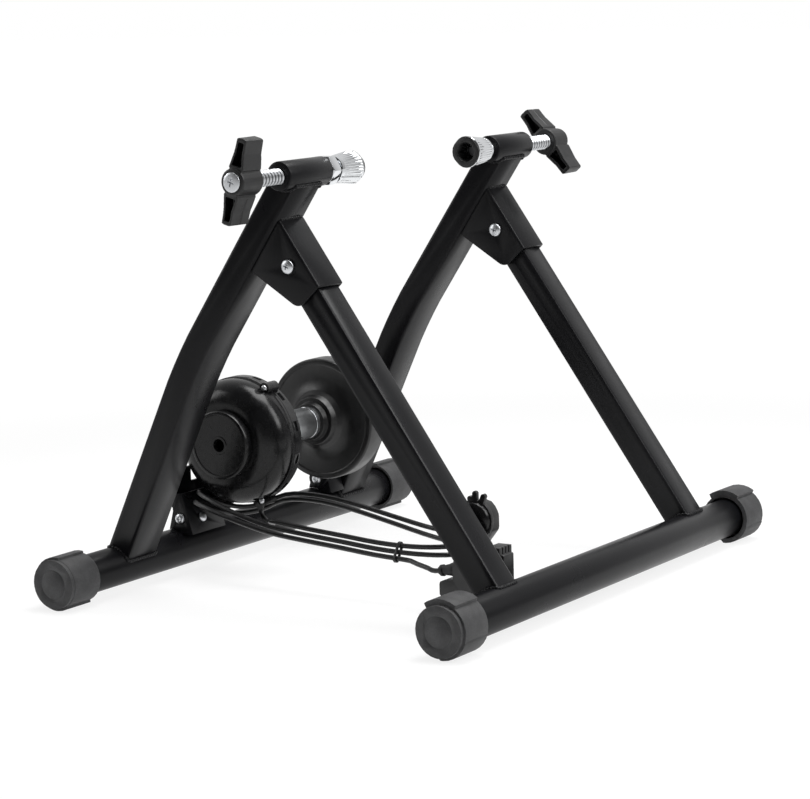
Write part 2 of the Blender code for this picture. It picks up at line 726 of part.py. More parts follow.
def hexagon_nut(name, x0, x1, flats, bore, centre, material):
    y, z = centre
    radius = flats / math.sqrt(3)
    outline = arc(y, z, radius, 0.0, 2 * math.pi, 6)[:-1]
    nut = finish(name, prism(outline, x0, x1), material, (0, y, z))
    chamfer = (radius - flats / 2) * 0.6
    over = GAP / 3
    slope = [(x0 - over, 0.0), (x0 - over, flats / 2), (x0 + chamfer, radius + over),
             (x1 - chamfer, radius + over), (x1 + over, flats / 2), (x1 + over, 0.0)]
    boolean(nut, [helper("slope", lathe(slope, y, z, 18))], "INTERSECT")
    return boolean(nut, [helper("thread", rod(x0 - BEYOND, x1 + BEYOND, bore, y, z, 16))])


def build_pivot(side_name, side):
    """The head is on the bracket's right face on both sides, as photographed."""
    centre_x = side * LEG_X
    half = BRACKET_WIDTH / 2
    head_x = centre_x - half - GAP
    nut_from = centre_x + half + GAP
    nut_to = nut_from + PIVOT_NUT_HEIGHT
    centre = (PIVOT_Y, PIVOT_Z)
    domed_bolt(f"pivot_bolt_{side_name}", head_x, nut_to + BOLT_PROUD, centre,
               (PIVOT_BOLT_RADIUS, PIVOT_HEAD_RADIUS), PIVOT_HEAD_HEIGHT)
    name = f"pivot_nut_{side_name}"
    hexagon_nut(name, nut_from, nut_to, PIVOT_NUT_FLATS, PIVOT_BOLT_RADIUS + GAP, centre, bright_zinc(name))


def build_clamp_tube(name, side):
    outer = side * CLAMP_TUBE_OUTER_X
    inner = side * (CLAMP_TUBE_OUTER_X - CLAMP_TUBE_LENGTH)
    edge = CLAMP_TUBE_EDGE
    profile = [(outer, SPINDLE_RADIUS + GAP), (outer, CLAMP_TUBE_RADIUS - edge),
               (outer - side * edge, CLAMP_TUBE_RADIUS), (inner + side * edge, CLAMP_TUBE_RADIUS),
               (inner, CLAMP_TUBE_RADIUS - edge), (inner, SPINDLE_RADIUS + GAP)]
    return finish(name, lathe(profile, AXLE_Y, AXLE_HEIGHT, 20), steel_black(name))


def wing_flank(low, high, spread):
    """Points down one flank of a wing, in (y, z), from one height above the axis to another."""
    marks = [(KNOB_HUB_RADIUS, WING_ROOT / 2), (WING_WAIST_AT, WING_WAIST / 2), (KNOB_REACH, WING_TIP / 2)]

    def half_width(height):
        (z0, y0), (z1, y1) = marks[:2] if height < WING_WAIST_AT else marks[1:]
        return y0 + (y1 - y0) * (height - z0) / (z1 - z0) + spread

    return [(half_width(height), height) for height in (low, WING_WAIST_AT, high)]


def wing_outline(spread):
    """One wing of a knob from the hub outwards along +Z: waisted flanks and a crowned end."""
    flank = wing_flank(KNOB_HUB_RADIUS, KNOB_REACH - WING_CROWN, spread)
    root = flank[0][0]
    tip = flank[-1][0]
    top = KNOB_REACH - WING_CROWN * 0.3
    right = [(root * 0.7, SPINDLE_RADIUS + WING_WALL)] + flank + [(tip * 0.6, top)]
    return right + [(-y, z) for y, z in reversed(right)]


def build_wing(outer, inner, half_turn):
    """A wing between the knob's two faces, wider at the inner one and less deep at its tip."""
    side = 1.0 if outer > inner else -1.0
    lift = (KNOB_DEPTH - WING_TIP_DEPTH) / 2 / KNOB_REACH
    wing = bmesh.new()
    rings = []
    ends = ((outer - side * WING_SETBACK, -side, 0.0), (inner + side * GAP, side, WING_DRAFT))
    for level, slope, spread in ends:
        outline = wing_outline(spread)
        rings.append([wing.verts.new((level + slope * lift * z, y, z)) for y, z in outline])
    join_rings(wing, rings)
    wing.faces.new(rings[0])
    wing.faces.new(rings[1])
    return helper("wing", turned(wing, half_turn, (0, 0, 0)))


def wing_cutters(outer, inner, half_turn):
    """The pocket in each end of a wing and the groove down one flank."""
    side = 1.0 if outer > inner else -1.0
    pocket_side = wing_flank(KNOB_HUB_RADIUS + WING_WALL, KNOB_REACH - POCKET_END, -WING_WALL)
    outline = pocket_side + [(-y, z) for y, z in reversed(pocket_side)]
    middle = (outer + inner) / 2
    beyond = side * POCKET_END
    half_web = side * WING_WEB / 2
    cutters = [prism(outline, outer + beyond, middle + half_web),
               prism(outline, middle - half_web, inner - beyond)]
    line = outer - side * KNOB_DEPTH * WING_GROOVE_AT
    half = WING_GROOVE / 2
    floor = wing_flank(KNOB_SKIRT_RADIUS + half, KNOB_REACH + half, WING_DRAFT * WING_GROOVE_AT - half)
    groove = floor + [(WING_ROOT, KNOB_REACH + half), (WING_ROOT, KNOB_SKIRT_RADIUS + half)]
    cutters.append(prism([(-side * y, z) for y, z in groove], line - half, line + half))
    return [helper("cutter", turned(shape, half_turn, (0, 0, 0))) for shape in cutters]


def build_knob(name, side, face_x, tilt):
    """Hub and two wings; each wing has a pocket in both ends and a long groove down one flank."""
    outer = side * face_x
    inner = side * (face_x - KNOB_DEPTH)
    edge = KNOB_EDGE
    seat = SPINDLE_RADIUS + GAP
    screw_hole = SCREW_SHANK_RADIUS + 2 * GAP
    seat_floor = outer - side * KNOB_FACE_WALL
    hub_profile = [
        (outer, screw_hole), (outer, KNOB_HUB_RADIUS - edge), (outer - side * edge, KNOB_HUB_RADIUS),
        (inner + side * edge, KNOB_SKIRT_RADIUS), (inner, KNOB_SKIRT_RADIUS - edge), (inner, seat),
        (seat_floor, seat), (seat_floor, screw_hole),
    ]
    knob = finish(name, lathe(hub_profile, 0.0, 0.0, 24), plastic_black(name))
    half_turns = (0.0, math.pi)
    boolean(knob, [build_wing(outer, inner, half_turn) for half_turn in half_turns], "UNION")
    boolean(knob, [cutter for half_turn in half_turns for cutter in wing_cutters(outer, inner, half_turn)])
    for vertex in knob.data.vertices:
        vertex.co = Matrix.Rotation(tilt, 3, "X") @ vertex.co
    knob.location = (0, AXLE_Y, AXLE_HEIGHT)


def build_spindle(name, side, knob_face, cup_face):
    """Threaded rod, drawn at its outer diameter, bored for the knob's screw and with a nose in the cup."""
    outer = side * (knob_face - KNOB_FACE_WALL - GAP)
    nose = side * (cup_face + SOCKET_DEPTH)
    shoulder = side * (cup_face + SEAT_FOR_SPINDLE + GAP)
    bore_end = outer - side * SPINDLE_BORE_DEPTH
    bore = SCREW_SHANK_RADIUS + GAP
    profile = [(outer, bore), (outer, SPINDLE_RADIUS - SPINDLE_CHAMFER),
               (outer - side * SPINDLE_CHAMFER, SPINDLE_RADIUS), (shoulder, SPINDLE_RADIUS),
               (shoulder, SPINDLE_NOSE), (nose, SPINDLE_NOSE), (nose, 0.0), (bore_end, 0.0), (bore_end, bore)]
    finish(name, lathe(profile, AXLE_Y, AXLE_HEIGHT, 16), bright_zinc(name), (0, AXLE_Y, AXLE_HEIGHT))


def build_cup(name, side, face):
    """Chrome sleeve, a cone that widens to its lip, with a stepped bore for the insert and the spindle."""
    def at(depth):
        return side * (face + depth)

    bore = SPINDLE_RADIUS + GAP
    neck = SPINDLE_NOSE + GAP
    profile = [(at(CUP_LIP_SETBACK), CUP_LIP_RADIUS - CUP_WALL), (at(CUP_LIP_SETBACK), CUP_LIP_RADIUS),
               (at(CUP_LENGTH), CUP_BACK_RADIUS), (at(CUP_LENGTH), bore), (at(SEAT_FOR_SPINDLE), bore),
               (at(SEAT_FOR_SPINDLE), neck), (at(SOCKET_DEPTH), neck), (at(SOCKET_DEPTH), SOCKET_RADIUS),
               (at(CUP_MOUTH_DEPTH), SOCKET_RADIUS)]
    finish(name, lathe(profile, AXLE_Y, AXLE_HEIGHT, 24), chrome(name), (0, AXLE_Y, AXLE_HEIGHT))


def build_insert(name, side, face):
    """Moulded insert that takes the wheel axle's nut: a flange with four flats and a notched funnel."""
    def at(depth):
        return side * (face + depth)

    snug = SOCKET_RADIUS - GAP
    floor_depth = SOCKET_DEPTH - GAP
    lip_inside = CUP_LIP_RADIUS - CUP_WALL - GAP
    profile = [(at(0.0), INSERT_MOUTH), (at(0.0), CUP_LIP_RADIUS - INSERT_EDGE),
               (at(CUP_LIP_SETBACK - GAP), CUP_LIP_RADIUS), (at(CUP_LIP_SETBACK - GAP), lip_inside),
               (at(CUP_MOUTH_DEPTH - 2 * GAP), snug), (at(floor_depth), snug),
               (at(floor_depth), INSERT_THROAT), (at(floor_depth / 2), INSERT_MOUTH * 0.75)]
    mesh_data = lathe(profile, 0.0, 0.0, 24)
    for vertex in mesh_data.verts:
        across = max(abs(vertex.co.y) + abs(vertex.co.z), 1e-9) / math.sqrt(2)
        keep = min(1.0, INSERT_FLAT / across)
        vertex.co.y *= keep
        vertex.co.z *= keep
    insert = finish(name, mesh_data, plastic_black(name))
    notches = []
    half = INSERT_NOTCH_WIDTH / 2
    for index in range(INSERT_NOTCHES):
        corners = [(INSERT_THROAT - half, -half), (SOCKET_RADIUS - half, -half),
                   (SOCKET_RADIUS - half, half), (INSERT_THROAT - half, half)]
        notch = prism(corners, at(-0.001), at(floor_depth - half))
        angle = 2 * math.pi / INSERT_NOTCHES * index
        notches.append(helper("notch", turned(notch, angle, (0, 0, 0))))
    boolean(insert, notches)
    insert.location = (0, AXLE_Y, AXLE_HEIGHT)


def build_clamp(side_name, side, knob_face, cup_face, tilt):
    build_knob(f"clamp_knob_{side_name}", side, knob_face, tilt)
    build_spindle(f"clamp_spindle_{side_name}", side, knob_face, cup_face)
    domed_bolt(f"knob_screw_{side_name}", side * (knob_face + GAP), side * (knob_face - SCREW_LENGTH),
               (AXLE_Y, AXLE_HEIGHT), (SCREW_SHANK_RADIUS, SCREW_HEAD_RADIUS), SCREW_HEAD_HEIGHT)
    build_cup(f"clamp_cup_{side_name}", side, cup_face)
    build_insert(f"cup_insert_{side_name}", side, cup_face)


def build_lock_nut():
    tube_end = -(CLAMP_TUBE_OUTER_X - CLAMP_TUBE_LENGTH)
    x0 = tube_end + GAP
    name = "lock_nut"
    centre = (AXLE_Y, AXLE_HEIGHT)
    hexagon_nut(name, x0, x0 + NUT_HEIGHT, NUT_FLATS, SPINDLE_RADIUS + GAP, centre, chrome(name))


def seat_web_line(height):
    """Y of the seat web's front face at a height; the web leans back from the floor tube."""
    front_at_pivot = UNIT_PIVOT_Y - SEAT_WEB_SETBACK / math.cos(SEAT_WEB_LEAN)
    return front_at_pivot + (height - UNIT_PIVOT_Z) * math.tan(SEAT_WEB_LEAN)


def build_seat(name, x0, x1, low_top_from, low_top_to):
    """Folded channel welded on the rear tube: a leaning web in front and two ears behind it."""
    tip = SEAT_TOP_Z
    outline = rounded_outline(
        [(seat_web_line(SEAT_BASE_Z), SEAT_BASE_Z), (SEAT_BACK_Y, SEAT_BASE_Z),
         (seat_web_line(tip) + SEAT_TOP_DEPTH, tip), (seat_web_line(tip), tip)],
        [0, SEAT_CORNER, SEAT_CORNER, SEAT_TOP_EDGE], 3)
    seat = finish(name, prism(outline, x0, x1), steel_black(name))
    low, high = SEAT_BASE_Z - 2 * BEYOND, tip + BEYOND
    behind = SEAT_BACK_Y + 2 * BEYOND
    before = SEAT_BACK_Y - 4 * BEYOND
    setback = SEAT_SHEET / math.cos(SEAT_WEB_LEAN)
    room = [(seat_web_line(low) + setback, low), (behind, low),
            (behind, high), (seat_web_line(high) + setback, high)]
    hole = rod(x0 - BEYOND, x1 + BEYOND, UNIT_BOLT_RADIUS + GAP, UNIT_PIVOT_Y, UNIT_PIVOT_Z, 16)
    tube = rod(x0 - BEYOND, x1 + BEYOND, TUBE_RADIUS + GAP, REAR_TUBE_Y, TUBE_Z, 32)
    notch = [(before, SEAT_LOW_TOP_Z), (behind, SEAT_LOW_TOP_Z), (behind, high), (before, high)]
    cutters = [
        helper("room", prism(room, x0 + SEAT_SHEET, x1 - SEAT_SHEET)),
        helper("hole", hole),
        helper("tube", tube),
        helper("notch", prism(notch, low_top_from, low_top_to)),
    ]
    return boolean(seat, cutters)


def build_web_bolt():
    """Round-headed bolt through the right seat's web, with its nut behind."""
    lean = SEAT_WEB_LEAN
    face = Vector((WEB_BOLT_X, seat_web_line(WEB_BOLT_Z), WEB_BOLT_Z))
    outward = Vector((0, -math.cos(lean), math.sin(lean)))
    shank, head, height = WEB_BOLT_RADIUS, WEB_BOLT_HEAD, WEB_BOLT_HEAD_HEIGHT + GAP
    profile = [(height, 0.0), (height, head * 0.5), (height * 0.58, head * 0.88), (GAP, head), (GAP, shank),
               (-2 * SEAT_SHEET, shank), (-2 * SEAT_SHEET, 0.0)]
    bolt = placed_along(lathe(profile, 0, 0, 14), face, outward)
    finish("web_bolt", bolt, bright_zinc("web_bolt"), tuple(face))
    return placed_along(rod(-BEYOND, BEYOND, shank + GAP, 0, 0, 16), face, outward)


def link_outline(first, first_radius, second, second_radius, steps=8):
    """Outline round two circles and their outer tangents."""
    a, b = Vector(first), Vector(second)
    span = (b - a).length
    heading = math.atan2(b.y - a.y, b.x - a.x)
    spread = math.acos((first_radius - second_radius) / span)
    points = arc(a.x, a.y, first_radius, heading + spread, heading + 2 * math.pi - spread, steps)
    points += arc(b.x, b.y, second_radius, heading - spread, heading + spread, steps)
    return points


def build_arm(name, centre_x, bore):
    """Pressed arm from the seat's pivot up to the roller's axle, with a lightening window."""
    axle, pivot = Vector((UNIT_Y, UNIT_Z)), Vector((UNIT_PIVOT_Y, UNIT_PIVOT_Z))
    outline = link_outline(tuple(axle), ARM_HEAD_RADIUS, tuple(pivot), ARM_FOOT_RADIUS, 8)
    x0, x1 = centre_x - ARM_SHEET / 2, centre_x + ARM_SHEET / 2
    arm = finish(name, prism(outline, x0, x1), steel_black(name), (0, UNIT_PIVOT_Y, UNIT_PIVOT_Z))
    window_ends = [tuple(axle.lerp(pivot, share)) for share in ARM_WINDOW_SPAN]
    window = link_outline(window_ends[0], ARM_WINDOW_RADII[0], window_ends[1], ARM_WINDOW_RADII[1], 6)
    pivot_hole = rod(x0 - BEYOND, x1 + BEYOND, UNIT_BOLT_RADIUS + GAP, UNIT_PIVOT_Y, UNIT_PIVOT_Z, 16)
    cutters = [helper("pivot", pivot_hole),
               helper("bore", rod(x0 - BEYOND, x1 + BEYOND, bore, UNIT_Y, UNIT_Z, 24)),
               helper("window", prism(window, x0 - BEYOND, x1 + BEYOND))]
    return boolean(arm, cutters)


def build_right_arm():
    """The right arm with the plate behind the housing, the outer ear and the tail for the jack screw."""
    name = "unit_arm_right"
    arm = build_arm(name, RIGHT_ARM_X, UNIT_AXLE_RADIUS + 2 * GAP)
    arm_side = RIGHT_ARM_X + ARM_SHEET / 2
    back = BACK_PLATE_Y + BACK_PLATE_SHEET

    def plate(x0, x1, z0, z1):
        outline = [(BACK_PLATE_Y, z0), (back, z0), (back, z1), (BACK_PLATE_Y, z1)]
        return helper("plate", prism(outline, x0, x1))

    base, low_top = BACK_PLATE_BASE_Z, BACK_PLATE_LOW_TOP_Z
    middle = arm_side - ARM_SHEET / 2
    foot = (UNIT_PIVOT_Y, UNIT_PIVOT_Z)
    ear_top = (BACK_PLATE_Y + BACK_PLATE_SHEET / 2, base + EAR_RISE)
    ear = prism(link_outline(foot, EAR_RADIUS, ear_top, EAR_TOP_RADIUS, 8),
                BACK_PLATE_FROM, BACK_PLATE_FROM + BACK_PLATE_SHEET)
    root = [(UNIT_PIVOT_Y, UNIT_PIVOT_Z + GUSSET_REACH), (back, base), (back, low_top),
            (UNIT_PIVOT_Y - GUSSET_REACH, low_top)]
    gusset = prism(root, arm_side - ARM_SHEET, arm_side)
    tail_end = BACK_PLATE_Y + TAIL_REACH
    tail_outline = [(BACK_PLATE_Y, base), (tail_end, base),
                    (tail_end, base + TAIL_SHEET), (BACK_PLATE_Y, base + TAIL_SHEET)]
    tail = prism(tail_outline, JACK_X - TAIL_HALF_WIDTH, JACK_X + TAIL_HALF_WIDTH)
    tail_plate = plate(middle, JACK_X + TAIL_HALF_WIDTH, base, TAIL_PLATE_TOP_Z)
    low = plate(BACK_PLATE_FROM, middle, base, low_top)
    tall = plate(BACK_PLATE_FROM, BACK_PLATE_TALL_TO, base + BACK_PLATE_LIP, BACK_PLATE_TOP_Z)
    boolean(arm, [helper("gusset", gusset), low, tall, tail_plate, helper("ear", ear), helper("tail", tail)],
            "UNION")
    jack = placed_along(rod(-3 * BEYOND, 3 * BEYOND, JACK_RADIUS + GAP, 0, 0, 16),
                        (JACK_X, JACK_Y, base), (0, 0, 1))
    pivot = rod(BACK_PLATE_FROM - BEYOND, arm_side + BEYOND, UNIT_BOLT_RADIUS + GAP,
                UNIT_PIVOT_Y, UNIT_PIVOT_Z, 16)
    corner = Vector((BACK_PLATE_FROM, base + BACK_PLATE_TAPER_FROM))
    slope = Vector((math.sin(BACK_PLATE_TAPER), math.cos(BACK_PLATE_TAPER)))
    outside = BACK_PLATE_FROM - BEYOND
    edge = [tuple(corner), tuple(corner + slope * 5 * BEYOND), (outside, BACK_PLATE_TOP_Z + 2 * BEYOND),
            (outside, corner.y)]
    taper = prism(edge, BACK_PLATE_Y - BEYOND, back + BEYOND, "XZ")
    return boolean(arm, [helper("jack", jack), helper("pivot", pivot), helper("taper", taper)])


def build_jack():
    """Screw, swivelling foot and knob, upright through the carrier's tail."""
    overhang = JACK_Y - REAR_TUBE_Y
    rest = TUBE_Z + math.sqrt(TUBE_RADIUS ** 2 - (overhang - JACK_FOOT_RADIUS) ** 2) + GAP
    tip = rest + JACK_FOOT_HEIGHT
    centre = (JACK_X, JACK_Y, tip)
    up = (0, 0, 1)
    chamfer = JACK_CHAMFER
    foot_top = JACK_FOOT_HEIGHT - GAP
    foot = [(0.0, 0.0), (0.0, JACK_FOOT_RADIUS), (foot_top * 0.47, JACK_FOOT_RADIUS),
            (foot_top, JACK_RADIUS + chamfer / 2), (foot_top, 0.0)]
    foot_shape = placed_along(lathe(foot, 0, 0, 20), (JACK_X, JACK_Y, rest), up)
    finish("jack_foot", foot_shape, rubber_black("jack_foot"), centre)
    profile = [(0.0, 0.0), (0.0, JACK_RADIUS - chamfer), (chamfer, JACK_RADIUS),
               (JACK_LENGTH - chamfer, JACK_RADIUS), (JACK_LENGTH, JACK_RADIUS - chamfer), (JACK_LENGTH, 0.0)]
    screw = placed_along(lathe(profile, 0, 0, 16), centre, up)
    finish("jack_screw", screw, bright_zinc("jack_screw"), centre)

    outline = []
    steps = JACK_KNOB_LOBES * 4
    for step in range(steps):
        angle = 2 * math.pi * step / steps
        hollow = JACK_KNOB_FLUTE * (0.5 - 0.5 * math.cos(JACK_KNOB_LOBES * angle))
        outline.append((math.cos(angle), math.sin(angle), JACK_KNOB_RADIUS - hollow))
    knob_to = JACK_LENGTH + JACK_KNOB_CROWN
    knob_from = knob_to - JACK_KNOB_HEIGHT
    mesh_data = bmesh.new()
    rings = []
    sections = ((knob_from, 0.60), (knob_from + JACK_KNOB_HEIGHT * 0.36, 1.0),
                (knob_to - JACK_KNOB_CROWN / 2, 1.0), (knob_to, 0.92))
    for x, scale in sections:
        rings.append([mesh_data.verts.new((x, r * scale * c, r * scale * s)) for c, s, r in outline])
    join_rings(mesh_data, rings)
    mesh_data.faces.new(rings[0])
    mesh_data.faces.new(rings[-1])
    knob = finish("jack_knob", placed_along(mesh_data, centre, up), plastic_black("jack_knob"), centre)
    seat = placed_along(rod(knob_from - BEYOND, JACK_LENGTH + GAP, JACK_RADIUS + GAP, 0, 0, 16), centre, up)
    boolean(knob, [helper("seat", seat)])


def build_roller_group():
    centre = (0, UNIT_Y, UNIT_Z)
    bore = UNIT_AXLE_RADIUS + GAP
    edge = ROLLER_EDGE
    profile = [(ROLLER_FROM, bore), (ROLLER_FROM, ROLLER_RADIUS - edge), (ROLLER_FROM + edge, ROLLER_RADIUS),
               (ROLLER_TO - edge, ROLLER_RADIUS), (ROLLER_TO, ROLLER_RADIUS - edge), (ROLLER_TO, bore)]
    roller = paint("roller_steel", (0.45, 0.46, 0.47), 0.35, 1.0)
    finish("roller", lathe(profile, UNIT_Y, UNIT_Z, 24), roller, centre)

    hub_from = ROLLER_TO + GAP
    hub_to = LEFT_ARM_X - BEARING_WIDTH / 2 - GAP
    rim = FLYWHEEL_RADIUS
    collar_to = hub_from + FLYWHEEL_COLLAR
    dish = FLYWHEEL_TO - FLYWHEEL_DISH
    edge = FLYWHEEL_EDGE
    profile = [
        (hub_from, bore), (hub_from, FLYWHEEL_HUB - edge), (collar_to, FLYWHEEL_HUB),
        (collar_to, FLYWHEEL_HUB * 1.22), (FLYWHEEL_FROM - edge, rim * 0.52),
        (FLYWHEEL_FROM + edge, rim * 0.69), (FLYWHEEL_FROM, rim - 5 * edge),
        (FLYWHEEL_FROM, rim - edge), (FLYWHEEL_FROM + 2 * edge, rim),
        (FLYWHEEL_TO - 1.5 * edge, rim), (FLYWHEEL_TO, rim - 2 * edge), (FLYWHEEL_TO, rim - FLYWHEEL_RIM),
        (dish, rim - FLYWHEEL_RIM - 3 * edge), (dish, FLYWHEEL_HUB + edge),
        (FLYWHEEL_TO + 3 * edge, FLYWHEEL_SLEEVE), (hub_to, FLYWHEEL_SLEEVE), (hub_to, bore),
    ]
    finish("flywheel", lathe(profile, UNIT_Y, UNIT_Z, 28), steel_black("flywheel"), centre)

    bearing_face = LEFT_ARM_X + BEARING_WIDTH / 2
    nut_from = bearing_face + GAP
    nut_to = nut_from + AXLE_NUT_HEIGHT
    axle_from = HOUSING_FACE + 2 * HOUSING_WALL
    axle_to = nut_to + BOLT_PROUD
    chamfer = AXLE_CHAMFER
    profile = [(axle_from, 0.0), (axle_from, UNIT_AXLE_RADIUS), (axle_to - chamfer, UNIT_AXLE_RADIUS),
               (axle_to, UNIT_AXLE_RADIUS - chamfer), (axle_to, 0.0)]
    axle = finish("roller_axle", lathe(profile, UNIT_Y, UNIT_Z, 16), bright_zinc("roller_axle"), centre)
    nut = hexagon_nut("axle_nut", nut_from, nut_to, AXLE_NUT_FLATS, UNIT_AXLE_RADIUS - chamfer,
                      (UNIT_Y, UNIT_Z), axle.data.materials[0])
    boolean(axle, [nut], "UNION")

    right_bearing_x = HOUSING_FROM - HOUSING_WALL - BEARING_WIDTH / 2
    hub_end = right_bearing_x - BEARING_WIDTH / 2 - GAP
    rotor_x = HOUSING_SPLIT - ROTOR_DEPTH
    half = ROTOR_SHEET / 2
    profile = [(hub_end, bore), (hub_end, ROTOR_HUB * 0.6), (rotor_x + 3 * half, ROTOR_HUB * 0.6),
               (rotor_x + 3 * half, ROTOR_HUB), (rotor_x + half, ROTOR_HUB), (rotor_x + half, ROTOR_RADIUS),
               (rotor_x - half, ROTOR_RADIUS), (rotor_x - half, bore)]
    rotor = paint("rotor_aluminium", (0.70, 0.71, 0.72), 0.30, 1.0)
    finish("rotor_disc", lathe(profile, UNIT_Y, UNIT_Z, 20), rotor, centre)

    for name, middle in (("bearing_left", LEFT_ARM_X), ("bearing_right", right_bearing_x)):
        x0, x1 = middle - BEARING_WIDTH / 2, middle + BEARING_WIDTH / 2
        finish(name, pipe(x0, x1, BEARING_RADIUS, bore, UNIT_Y, UNIT_Z, 20), bright_zinc(name), centre)


def lug_place(angle):
    return UNIT_Y + LUG_CIRCLE * math.cos(angle), UNIT_Z + LUG_CIRCLE * math.sin(angle)


def lug(x0, x1, angle):
    return helper("lug", rod(x0, x1, LUG_RADIUS, *lug_place(angle), 10))


def lug_hole(x0, x1, angle):
    return helper("lug_hole", rod(x0, x1, COVER_SCREW_RADIUS + GAP, *lug_place(angle), 8))


def build_housing_back():
    centre = (0, UNIT_Y, UNIT_Z)
    r, wall, back, split = HOUSING_RADIUS, HOUSING_WALL, HOUSING_FROM, HOUSING_SPLIT
    seat = BEARING_RADIUS + GAP
    pocket = back - wall - BEARING_WIDTH
    floor_x = back - wall + GAP
    hole = UNIT_AXLE_RADIUS + wall
    band_from = back - LUG_HEIGHT + HOUSING_RIB / 2
    profile = [(back, hole), (back, r - 2 * HOUSING_RIB), (back - HOUSING_RIB / 2, r - HOUSING_RIB),
               (band_from + HOUSING_RIB / 4, r - HOUSING_RIB), (band_from, r), (split, r), (split, r - wall),
               (back - wall, r - wall), (back - wall, seat + wall), (pocket, seat + wall), (pocket, seat),
               (floor_x, seat), (floor_x, hole)]
    name = "housing_back"
    shell = finish(name, lathe(profile, UNIT_Y, UNIT_Z, HOUSING_STEPS), plastic_black(name), centre)
    boolean(shell, [lug(split + LUG_DEPTH, split, angle) for angle in LUG_ANGLES], "UNION")
    cutters = [lug_hole(split - BEYOND, split + LUG_DEPTH + wall, angle) for angle in LUG_ANGLES]
    base, outward = gland_axis()
    gland_hole = placed_along(rod(-BEYOND, BEYOND, CABLE_RADIUS + GAP, 0, 0, 12), base, outward)
    cutters.append(helper("gland_hole", gland_hole))
    return boolean(shell, cutters)


def build_housing_cover():
    centre = (0, UNIT_Y, UNIT_Z)
    r, wall = HOUSING_RADIUS, HOUSING_WALL
    top = HOUSING_SPLIT - GAP
    shoulder, face = HOUSING_SHOULDER, HOUSING_FACE
    crown = BOSS_RADIUS + 2 * HOUSING_RIB
    rim = r - HOUSING_LIP
    steps = 4
    quarter = [math.pi / 2 * k / steps for k in range(steps + 1)]
    deep, wide = face - shoulder, rim - crown
    dome = [(shoulder + deep * math.sin(a), crown + wide * math.cos(a)) for a in quarter]
    shell = wall * 0.9
    inner = [(x + shell, radius - shell) for x, radius in reversed(dome[1::2])]
    hole = UNIT_AXLE_RADIUS + wall * 1.3
    collar = HOUSING_COLLAR
    collar_end = HOUSING_SPLIT - MAGNET_PLATE_DEPTH + MAGNET_PLATE_SHEET / 4
    band_end = top - wall
    profile = [(top, r - wall), (top, r), (band_end, r), (band_end - HOUSING_LIP / 2, rim)] + dome + \
        [(face, hole), (collar_end, hole), (collar_end, collar), (face + shell, collar)] + inner + \
        [(shoulder, rim - wall)]
    name = "housing_cover"
    cover = finish(name, lathe(profile, UNIT_Y, UNIT_Z, HOUSING_STEPS), plastic_black(name), centre)
    lug_top = top - LUG_HEIGHT
    boolean(cover, [lug(top, lug_top, angle) for angle in LUG_ANGLES], "UNION")
    cutters = [lug_hole(top - BEYOND, top + wall, angle) for angle in LUG_ANGLES]
    for angle in LUG_ANGLES:
        spot = rod(lug_top - GAP / 2, lug_top - BEYOND, COVER_SCREW_HEAD + GAP, *lug_place(angle), 12)
        cutters.append(helper("spot", spot))
    boolean(cover, cutters)
    head_x = lug_top - GAP
    head_top = head_x - COVER_SCREW_HEAD_HEIGHT
    tip = HOUSING_SPLIT + LUG_DEPTH - wall
    for index, angle in enumerate(LUG_ANGLES):
        name = f"cover_screw_{index + 1}"
        profile = [(head_top, 0.0), (head_top, COVER_SCREW_HEAD * 0.6), (head_x, COVER_SCREW_HEAD),
                   (head_x, COVER_SCREW_RADIUS), (tip, COVER_SCREW_RADIUS), (tip, 0.0)]
        y, z = lug_place(angle)
        finish(name, lathe(profile, y, z, 10), bright_zinc(name), (0, y, z))


def build_magnet_plate():
    """Plate with the magnets beside the rotor, free to turn on the cover's collar."""
    centre = (0, UNIT_Y, UNIT_Z)
    plate_x = HOUSING_SPLIT - MAGNET_PLATE_DEPTH
    back = plate_x - MAGNET_PLATE_SHEET
    bore = HOUSING_COLLAR + GAP
    profile = [(plate_x, bore), (plate_x, MAGNET_PLATE_RADIUS), (back, MAGNET_PLATE_RADIUS), (back, bore)]
    name = "magnet_plate"
    plate = finish(name, lathe(profile, UNIT_Y, UNIT_Z, 20), bright_zinc(name), centre)
    magnets = []
    for index in range(MAGNETS):
        angle = 2 * math.pi * index / MAGNETS
        y = UNIT_Y + MAGNET_CIRCLE * math.cos(angle)
        z = UNIT_Z + MAGNET_CIRCLE * math.sin(angle)
        inside = plate_x - MAGNET_PLATE_SHEET / 2
        magnets.append(helper("magnet", rod(inside, plate_x + MAGNET_PROUD, MAGNET_RADIUS, y, z, 8)))
    boolean(plate, magnets, "UNION")


def build_boss_cap():
    cap_back, cap_face = HOUSING_FACE - GAP, BOSS_FACE
    edge = BOSS_RECESS / 2
    recess = cap_face + BOSS_RECESS
    bore = UNIT_AXLE_RADIUS + 1.4 * BOSS_RECESS
    profile = [(cap_back, bore), (cap_back, BOSS_RADIUS), (cap_face + edge, BOSS_RADIUS),
               (cap_face, BOSS_RADIUS - edge), (cap_face, 2 * BOSS_RECESS), (recess, 1.6 * BOSS_RECESS),
               (recess, bore)]
    name = "boss_cap"
    finish(name, lathe(profile, UNIT_Y, UNIT_Z, 24), plastic_black(name), (0, UNIT_Y, UNIT_Z))


def gland_axis():
    outward = Vector((0, math.cos(GLAND_ANGLE), math.sin(GLAND_ANGLE)))
    return Vector((GLAND_X, UNIT_Y, UNIT_Z)) + outward * HOUSING_RADIUS, outward


